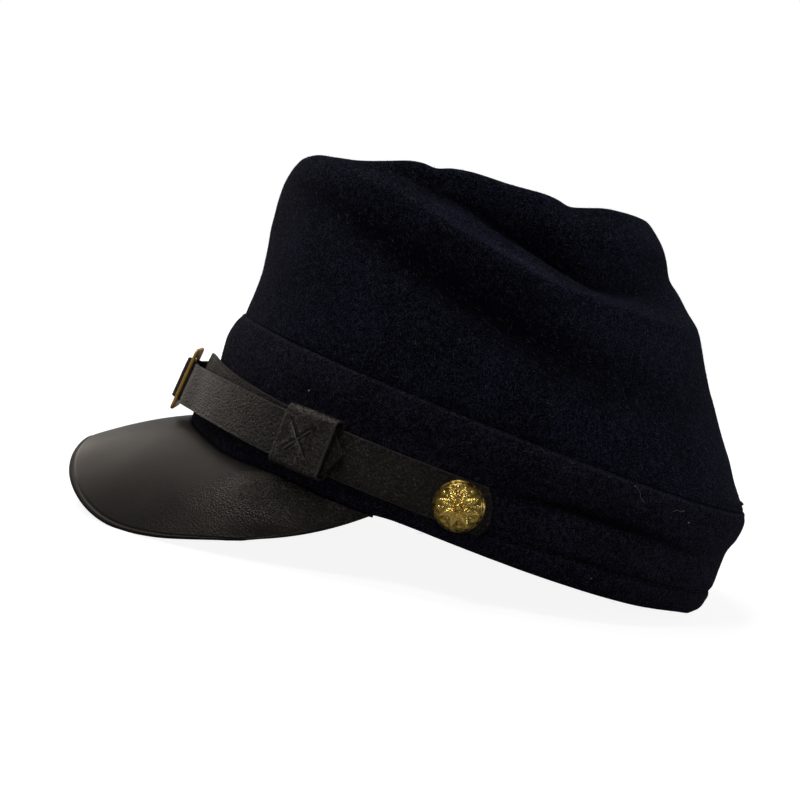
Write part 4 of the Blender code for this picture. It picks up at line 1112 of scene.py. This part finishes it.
# ---- Materials -------------------------------------------
class Finish:
    """A short way to write down the nodes of a material, or of the surroundings."""

    def __init__(self, owner, shader="Principled BSDF", coordinates="Object", scale=1 / MM):
        owner.use_nodes = True
        self.owner = owner
        self.tree = owner.node_tree
        self.shader = self.tree.nodes[shader]
        self.place = self.scaled(self.node("ShaderNodeTexCoord").outputs[coordinates], scale)

    def node(self, kind, **settings):
        made = self.tree.nodes.new(kind)
        for key, value in settings.items():
            setattr(made, key, value)
        return made

    def fill(self, sockets, values):
        """Link each value to its socket, or set it there."""
        for socket, value in zip(sockets, values):
            if isinstance(value, bpy.types.NodeSocket):
                self.tree.links.new(value, socket)
            elif socket.type == "RGBA":
                socket.default_value = (*value, 1.0)
            else:
                socket.default_value = value

    def put(self, node, **settings):
        """Fill sockets by name, with _ for a space."""
        sockets = [node.inputs[name.replace("_", " ")] for name in settings]
        self.fill(sockets, settings.values())

    def scaled(self, vector, scale, turn=(0, 0, 0)):
        made = self.node("ShaderNodeMapping")
        scale = scale if isinstance(scale, tuple) else (scale,) * 3
        self.put(made, Vector=vector, Scale=scale, Rotation=turn)
        return made.outputs["Vector"]

    def noise(self, size, detail=2.0, vector=None, distortion=0.0, roughness=0.5):
        """Noise with lumps of about this size in mm; 0 to 1 round 0.5."""
        made = self.node("ShaderNodeTexNoise")
        self.put(made, Vector=vector or self.place, Scale=1 / size, Detail=detail,
                 Roughness=roughness, Distortion=distortion)
        return made.outputs["Fac"]

    def cells(self, size):
        """Distance from the middle of the nearest cell, of about this size in mm."""
        made = self.node("ShaderNodeTexVoronoi")
        self.put(made, Vector=self.place, Scale=1 / size)
        return made.outputs["Distance"]

    def sum(self, kind, *values):
        made = self.node("ShaderNodeMath", operation=kind)
        self.fill(made.inputs, values)
        return made.outputs["Value"]

    def rescale(self, value, low, high, new_low=0.0, new_high=1.0, kind="LINEAR"):
        made = self.node("ShaderNodeMapRange", interpolation_type=kind)
        self.put(made, Value=value, From_Min=low, From_Max=high, To_Min=new_low, To_Max=new_high)
        return made.outputs["Result"]

    def blend(self, share, first, second):
        made = self.node("ShaderNodeMix", data_type="RGBA")
        colours = [socket for socket in made.inputs if socket.type == "RGBA"]
        self.fill((made.inputs["Factor"], *colours), (share, first, second))
        return next(socket for socket in made.outputs if socket.type == "RGBA")

    def axis(self, letter):
        """One coordinate of the place."""
        split = self.node("ShaderNodeSeparateXYZ")
        self.put(split, Vector=self.place)
        return split.outputs[letter]

    def mask(self, name):
        return self.node("ShaderNodeAttribute", attribute_name=name).outputs["Fac"]

    def bump(self, height, distance, strength=1.0):
        made = self.node("ShaderNodeBump")
        self.put(made, Height=height, Distance=distance * MM, Strength=strength)
        return made.outputs["Normal"]

    def camera_only(self, away, seen):
        """A number that is one thing to the camera and another to everything else."""
        camera_ray = self.node("ShaderNodeLightPath").outputs["Is Camera Ray"]
        return self.rescale(camera_ray, 0.0, 1.0, away, seen)

    def finish(self, **sockets):
        self.put(self.shader, **sockets)
        return self.owner


def wool(name, painted_shade_colour, dark, middle, light):
    """Fulled wool: a dense speckled nap with short fibres lying every way, with painted shade making
    it nearly black down in the folds, and a painted highlight lightening it along its crests."""
    w = Finish(bpy.data.materials.new(name))
    fibres = None
    for scale, turn in (((0.6, 3.2, 3.2), (0.3, 0.5, 0.2)), ((3.2, 0.6, 3.2), (0.9, 0.2, 0.7)),
                        ((3.2, 3.2, 0.6), (0.4, 1.1, 0.3)), ((0.6, 3.0, 3.0), (0.2, 0.4, 2.1))):
        lying = w.noise(1.0, 1.5, w.scaled(w.place, scale, turn), 0.8)
        fibres = lying if fibres is None else w.sum("MAXIMUM", fibres, lying)
    fibres = w.rescale(fibres, 0.60, 0.74)
    speckle = w.noise(0.9, 3.0, distortion=0.5, roughness=0.7)
    clumps = w.noise(2.1, 3.0, distortion=0.4, roughness=0.6)
    broad = w.noise(26.0, 2.0)
    tone = w.sum("MULTIPLY_ADD", clumps, 0.4, w.sum("MULTIPLY", speckle, 0.9))
    tone = w.sum("MULTIPLY_ADD", broad, 0.3, tone)
    colour = w.blend(w.rescale(tone, 0.76, 0.94), dark, middle)
    # Painted highlight: the mask read here lightens the cloth and its pale fibres along the crests.
    painted_shine = w.mask("painted_highlight")
    pale_fibres_and_painted_highlight = w.sum("MULTIPLY", fibres, w.rescale(painted_shine, 0.0, 1.0, 0.8, 1.2))
    pale_fibres_and_painted_highlight = w.sum("MULTIPLY_ADD", painted_shine, 0.08, pale_fibres_and_painted_highlight)
    colour = w.blend(pale_fibres_and_painted_highlight, colour, light)
    # Painted shade: a near-black colour is blended in where the shade mask is high.
    colour = w.blend(w.sum("MULTIPLY", w.mask("shade"), 0.85), colour, painted_shade_colour)
    height = w.sum("MULTIPLY_ADD", fibres, 0.5, speckle)
    normal = w.bump(w.sum("MULTIPLY_ADD", clumps, 0.5, height), 0.45, 0.9)
    return w.finish(Base_Color=colour, Normal=normal, Roughness=0.9, Specular_IOR_Level=0.03,
                    Sheen_Weight=0.02, Sheen_Roughness=0.35, Sheen_Tint=(0.45, 0.5, 0.85))


LEATHER_TINT = (1.0, 0.90, 0.82)


def peak_leather():
    """Worn satin leather: smooth in front, its grain standing up sharply at the sides by the band, the
    grain's high spots painted pale as painted glints, with a dark pressed edge."""
    w = Finish(bpy.data.materials.new("satin peak leather"))
    grain = w.mask("grain")
    patches = w.noise(9.0, 2.0)
    grainy = w.sum("MULTIPLY", grain, w.rescale(patches, 0.3, 0.6, 0.6, 1.0))
    pebbles = w.rescale(w.cells(0.85), 0.0, 0.6, 1.0, 0.0)
    crumbs = w.noise(0.55, 3.0, roughness=0.7)
    fine = w.noise(0.7, 2.0, w.scaled(w.place, (0.5, 1.6, 1.0), (0.0, 0.0, 0.5)))
    haze = w.noise(22.0, 3.0)
    base = w.blend(w.rescale(haze, 0.3, 0.7), (0.0085, 0.0073, 0.0066), (0.0125, 0.0108, 0.0098))
    edge = w.rescale(w.mask("inside"), 0.9, 2.2)
    base = w.blend(edge, (0.002, 0.0018, 0.0017), base)
    # Painted glints: the grain's raised pebbles are painted pale where light would catch them.
    painted_shine = w.sum("MULTIPLY", grainy, w.rescale(w.sum("ADD", pebbles, crumbs), 0.9, 1.4))
    base = w.blend(painted_shine, base, (0.050, 0.047, 0.044))
    smooth = w.rescale(haze, 0.3, 0.7, 0.38, 0.45)
    roughness = w.sum("MULTIPLY_ADD", grainy, -0.22, smooth)
    roughness = w.sum("ADD", roughness, w.rescale(w.mask("inside"), 0.7, 2.0, 0.35, 0.0))
    height = w.sum("MULTIPLY_ADD", pebbles, 0.8, w.sum("MULTIPLY", crumbs, 0.7))
    height = w.sum("MULTIPLY_ADD", fine, 0.06, w.sum("MULTIPLY", height, grainy))
    normal = w.bump(height, 0.9, 1.0)
    return w.finish(Base_Color=base, Roughness=roughness, Normal=normal,
                    Specular_IOR_Level=0.45, Specular_Tint=LEATHER_TINT)


def strap_leather(name, shiniest, dullest, relief):
    """Waxed strap leather: fine pebbled grain with pale wax in it, burnished light edges."""
    w = Finish(bpy.data.materials.new(name))
    cracked = w.rescale(w.axis("Y"), -107.0, -84.0, 0.1, 1.0)
    grain = w.noise(1.2, 3.0, w.scaled(w.place, (1.1, 0.8, 1.8), (0.7, 0.0, 0.3)), 0.8, 0.65)
    crumbs = w.noise(0.8, 2.0, distortion=1.0, roughness=0.6)
    pores = w.cells(1.0)
    wear = w.noise(11.0, 3.0)
    base = w.blend(w.rescale(wear, 0.35, 0.7), (0.0026, 0.0023, 0.0020), (0.0070, 0.0060, 0.0050))
    wax = w.sum("MULTIPLY", w.rescale(crumbs, 0.53, 0.66), cracked)
    wax = w.sum("MULTIPLY", wax, w.rescale(wear, 0.3, 0.65, 0.25, 1.0))
    base = w.blend(wax, base, (0.12, 0.107, 0.09))
    edge = w.rescale(w.mask("inside"), 0.15, 0.6)
    base = w.blend(edge, (0.045, 0.041, 0.034), base)
    # Painted shade: the leather goes near black where the shade mask is high.
    base = w.blend(w.mask("shade"), base, (0.0005, 0.0005, 0.0004))
    height = w.sum("MULTIPLY_ADD", pores, 0.6, w.sum("MULTIPLY_ADD", crumbs, 0.9, grain))
    normal = w.bump(w.sum("MULTIPLY", height, cracked), relief, 1.0)
    roughness = w.rescale(w.sum("ADD", grain, wear), 0.6, 1.3, shiniest, dullest)
    roughness = w.sum("MULTIPLY_ADD", w.mask("shade"), 0.4, roughness)
    return w.finish(Base_Color=base, Roughness=roughness, Normal=normal,
                    Specular_IOR_Level=0.42, Specular_Tint=LEATHER_TINT)


def brass(name, polished, tarnished, spread, metal=1.0):
    """Old brass: bright on the high spots, brown in the hollows, finely scratched."""
    w = Finish(bpy.data.materials.new(name))
    spots = w.noise(1.6, 4.0, roughness=0.6)
    share = w.rescale(w.sum("MULTIPLY_ADD", w.mask("high"), 0.6, spots), *spread)
    colour = w.blend(share, tarnished, polished)
    scratches = w.noise(0.25, 2.0, w.scaled(w.place, (1.0, 5.0, 1.4), (0.4, 0.2, 0.6)))
    normal = w.bump(w.sum("MULTIPLY_ADD", scratches, 0.5, spots), 0.05, 0.5)
    roughness = w.rescale(share, 0.0, 1.0, 0.42, 0.2)
    return w.finish(Base_Color=colour, Metallic=metal, Roughness=roughness, Normal=normal)


def plain_thread(name, colour, roughness):
    """Twisted thread: fine slanting strands."""
    w = Finish(bpy.data.materials.new(name))
    strands = w.noise(0.3, 2.0, w.scaled(w.place, (1.0, 3.0, 1.0), (0.8, 0.3, 0.0)))
    darker, lighter = (tuple(share * value for value in colour) for share in (0.5, 1.5))
    shade = w.blend(strands, darker, lighter)
    return w.finish(Base_Color=shade, Roughness=roughness, Normal=w.bump(strands, 0.08, 0.6))


def make_materials():
    return {
        # Each wool's first colour is its painted shade colour, for folds, creases and grooves.
        "crown": wool("navy wool crown", (0.0009, 0.0009, 0.0026), (0.0009, 0.0009, 0.0026),
                      (0.0116, 0.0122, 0.0272), (0.058, 0.062, 0.108)),
        "band": wool("navy wool band", (0.0009, 0.0008, 0.0022), (0.0010, 0.0009, 0.0025),
                     (0.0162, 0.0156, 0.0300), (0.072, 0.070, 0.110)),
        "peak": peak_leather(),
        "strap": strap_leather("waxed strap leather", 0.33, 0.49, 1.5),
        "keeper": strap_leather("burnished keeper leather", 0.19, 0.28, 0.35),
        "buckle": brass("brass buckle", (0.95, 0.56, 0.12), (0.60, 0.34, 0.07), (0.2, 0.8), 0.7),
        "button": brass("brass button", (1.0, 0.70, 0.18), (0.07, 0.040, 0.010), (0.40, 0.92)),
        "thread": plain_thread("waxed thread", (0.10, 0.092, 0.08), 0.5),
        "hem": plain_thread("navy thread", (0.0015, 0.0015, 0.003), 0.8),
        "nap": plain_thread("wool fibre", (0.060, 0.062, 0.085), 0.8),
        "lint": plain_thread("lint", (0.42, 0.38, 0.30), 0.9),
    }


# ---- Camera, light and floor -----------------------------
IMAGE_WIDTH = 800              # pixels
FOCAL_PIXELS = 1234.0
CAMERA_DISTANCE = 500.0        # mm from the cap's middle plane
CAMERA_ELEVATION = 4.3         # degrees above the band's plane
CAMERA_ROLL = 21.6
LOOK_AT = (0.0, -37.5, 33.3)   # cap frame, the picture's middle
SENSOR = 36.0
FLOOR_GLOW = (0.9, 1.06)       # by the cap, and beyond FLOOR_FAR
FLOOR_FAR = (0.2, 0.75)        # m
FLOOR_HALF = 9.0               # m
FLOOR_DROP = 0.0002            # m, so that nothing lies in the same plane as it
# The surroundings' strength: from one x (or z) of the direction to another, and at each.
WORLD_ACROSS = (-0.9, 0.9, 0.36, 0.03)
WORLD_UPWARD = (0.2, 1.0, 1.0, 0.3)
LAMPS = (
    # name, place, target, size, power, colour
    ("key", (-0.05, -0.38, 1.2), (0.0, -0.02, 0.06), (0.6, 0.6), 4.7, (1.0, 0.99, 0.97)),
    ("front", (-0.85, -0.95, 0.38), (0.0, -0.08, 0.03), (0.7, 0.8), 2.35, (1.0, 0.89, 0.79)),
    ("side", (0.66, -0.44, 1.02), (0.02, -0.05, 0.05), (0.26, 0.26), 3.2, (1.0, 0.98, 0.95)),
    ("fill", (1.25, 0.2, 0.5), (0.0, 0.0, 0.06), (0.9, 0.9), 0.6, (0.93, 0.96, 1.0)),
    ("rim", (0.0, 1.25, 0.14), (0.0, 0.05, 0.06), (0.6, 0.4), 3.6, (0.86, 0.91, 1.0)),
)


def camera_axes():
    """Right, up and back of the camera, in the cap frame."""
    tilt, roll = math.radians(CAMERA_ELEVATION), math.radians(CAMERA_ROLL)
    back = np.array((math.cos(tilt), 0, math.sin(tilt)))
    level = np.array((0.0, 1.0, 0.0))
    upright = np.array((-math.sin(tilt), 0, math.cos(tilt)))
    right = math.cos(roll) * level + math.sin(roll) * upright
    up = math.cos(roll) * upright - math.sin(roll) * level
    return right, up, back


def build_camera():
    right, up, back = camera_axes()
    turn, offset = POSE
    place = turn @ (np.array(LOOK_AT) + back * CAMERA_DISTANCE) * MM + offset
    data = bpy.data.cameras.new("camera")
    data.sensor_width = SENSOR
    data.lens = FOCAL_PIXELS / IMAGE_WIDTH * SENSOR
    data.clip_start = 0.01
    camera = bpy.data.objects.new("camera", data)
    axes = np.column_stack((turn @ right, turn @ up, turn @ back))
    camera.matrix_world = Matrix.Translation(Vector(place)) @ Matrix(axes.tolist()).to_4x4()
    bpy.context.scene.collection.objects.link(camera)
    bpy.context.scene.camera = camera


def build_world():
    """White paper all round, brightest behind the cap as the camera sees it."""
    world = bpy.data.worlds.new("white studio")
    bpy.context.scene.world = world
    w = Finish(world, "Background", "Generated", 1)
    across = w.rescale(w.axis("X"), *WORLD_ACROSS, "SMOOTHSTEP")
    strength = w.sum("MULTIPLY", across, w.rescale(w.axis("Z"), *WORLD_UPWARD))
    w.finish(Color=(1, 1, 1), Strength=w.camera_only(strength, 1.0))


def build_floor():
    """A white floor without an edge in view."""
    mesh = bpy.data.meshes.new("floor")
    corners = [(x * FLOOR_HALF, y * FLOOR_HALF, 0) for x, y in ((-1, -1), (1, -1), (1, 1), (-1, 1))]
    mesh.from_pydata(corners, [], [(0, 1, 2, 3)])
    floor = bpy.data.objects.new("floor", mesh)
    floor.location.z = -FLOOR_DROP
    bpy.context.scene.collection.objects.link(floor)
    w = Finish(bpy.data.materials.new("white floor"), scale=1)
    length = w.node("ShaderNodeVectorMath", operation="LENGTH")
    w.put(length, Vector=w.place)
    glow = w.rescale(length.outputs["Value"], *FLOOR_FAR, *FLOOR_GLOW, "SMOOTHSTEP")
    mesh.materials.append(w.finish(
        Base_Color=(0.35, 0.35, 0.35), Roughness=1.0, Specular_IOR_Level=0.0,
        Emission_Color=(1, 1, 1), Emission_Strength=w.camera_only(0.0, glow)))


def build_lamps():
    for name, place, target, size, power, colour in LAMPS:
        data = bpy.data.lights.new(name, "AREA")
        data.shape = "RECTANGLE"
        data.size, data.size_y = size
        data.energy = power
        data.color = colour
        lamp = bpy.data.objects.new(name, data)
        lamp.location = place
        lamp.rotation_euler = (Vector(target) - Vector(place)).to_track_quat("-Z", "Y").to_euler()
        bpy.context.scene.collection.objects.link(lamp)


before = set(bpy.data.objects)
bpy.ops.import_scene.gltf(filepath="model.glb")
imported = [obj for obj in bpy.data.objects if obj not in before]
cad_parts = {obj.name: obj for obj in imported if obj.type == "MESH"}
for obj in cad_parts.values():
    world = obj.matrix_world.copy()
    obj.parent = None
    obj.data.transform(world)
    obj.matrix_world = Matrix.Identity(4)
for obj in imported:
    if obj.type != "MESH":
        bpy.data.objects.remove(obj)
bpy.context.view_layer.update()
POSE = cap_pose()
MATERIALS = make_materials()

band_grid = build_band(MATERIALS["band"])
crown_grid = build_crown_side(MATERIALS["crown"])
build_crown_top(MATERIALS["crown"])
build_peak(MATERIALS["peak"])
build_straps(MATERIALS["strap"])
build_keeper(MATERIALS["keeper"])
build_buckle(MATERIALS["buckle"])
build_button("brass_button_left", "button_left", BUTTON_ANGLE, MATERIALS["button"])
build_button("brass_button_right", "button_right", -BUTTON_ANGLE, MATERIALS["button"])
build_hem_stitches(MATERIALS["hem"])
build_lint(MATERIALS["lint"])
build_nap(crown_grid, band_grid, MATERIALS["nap"])
build_camera()
bpy.context.scene.view_settings.view_transform = "Standard"
build_world()
build_floor()
build_lamps()
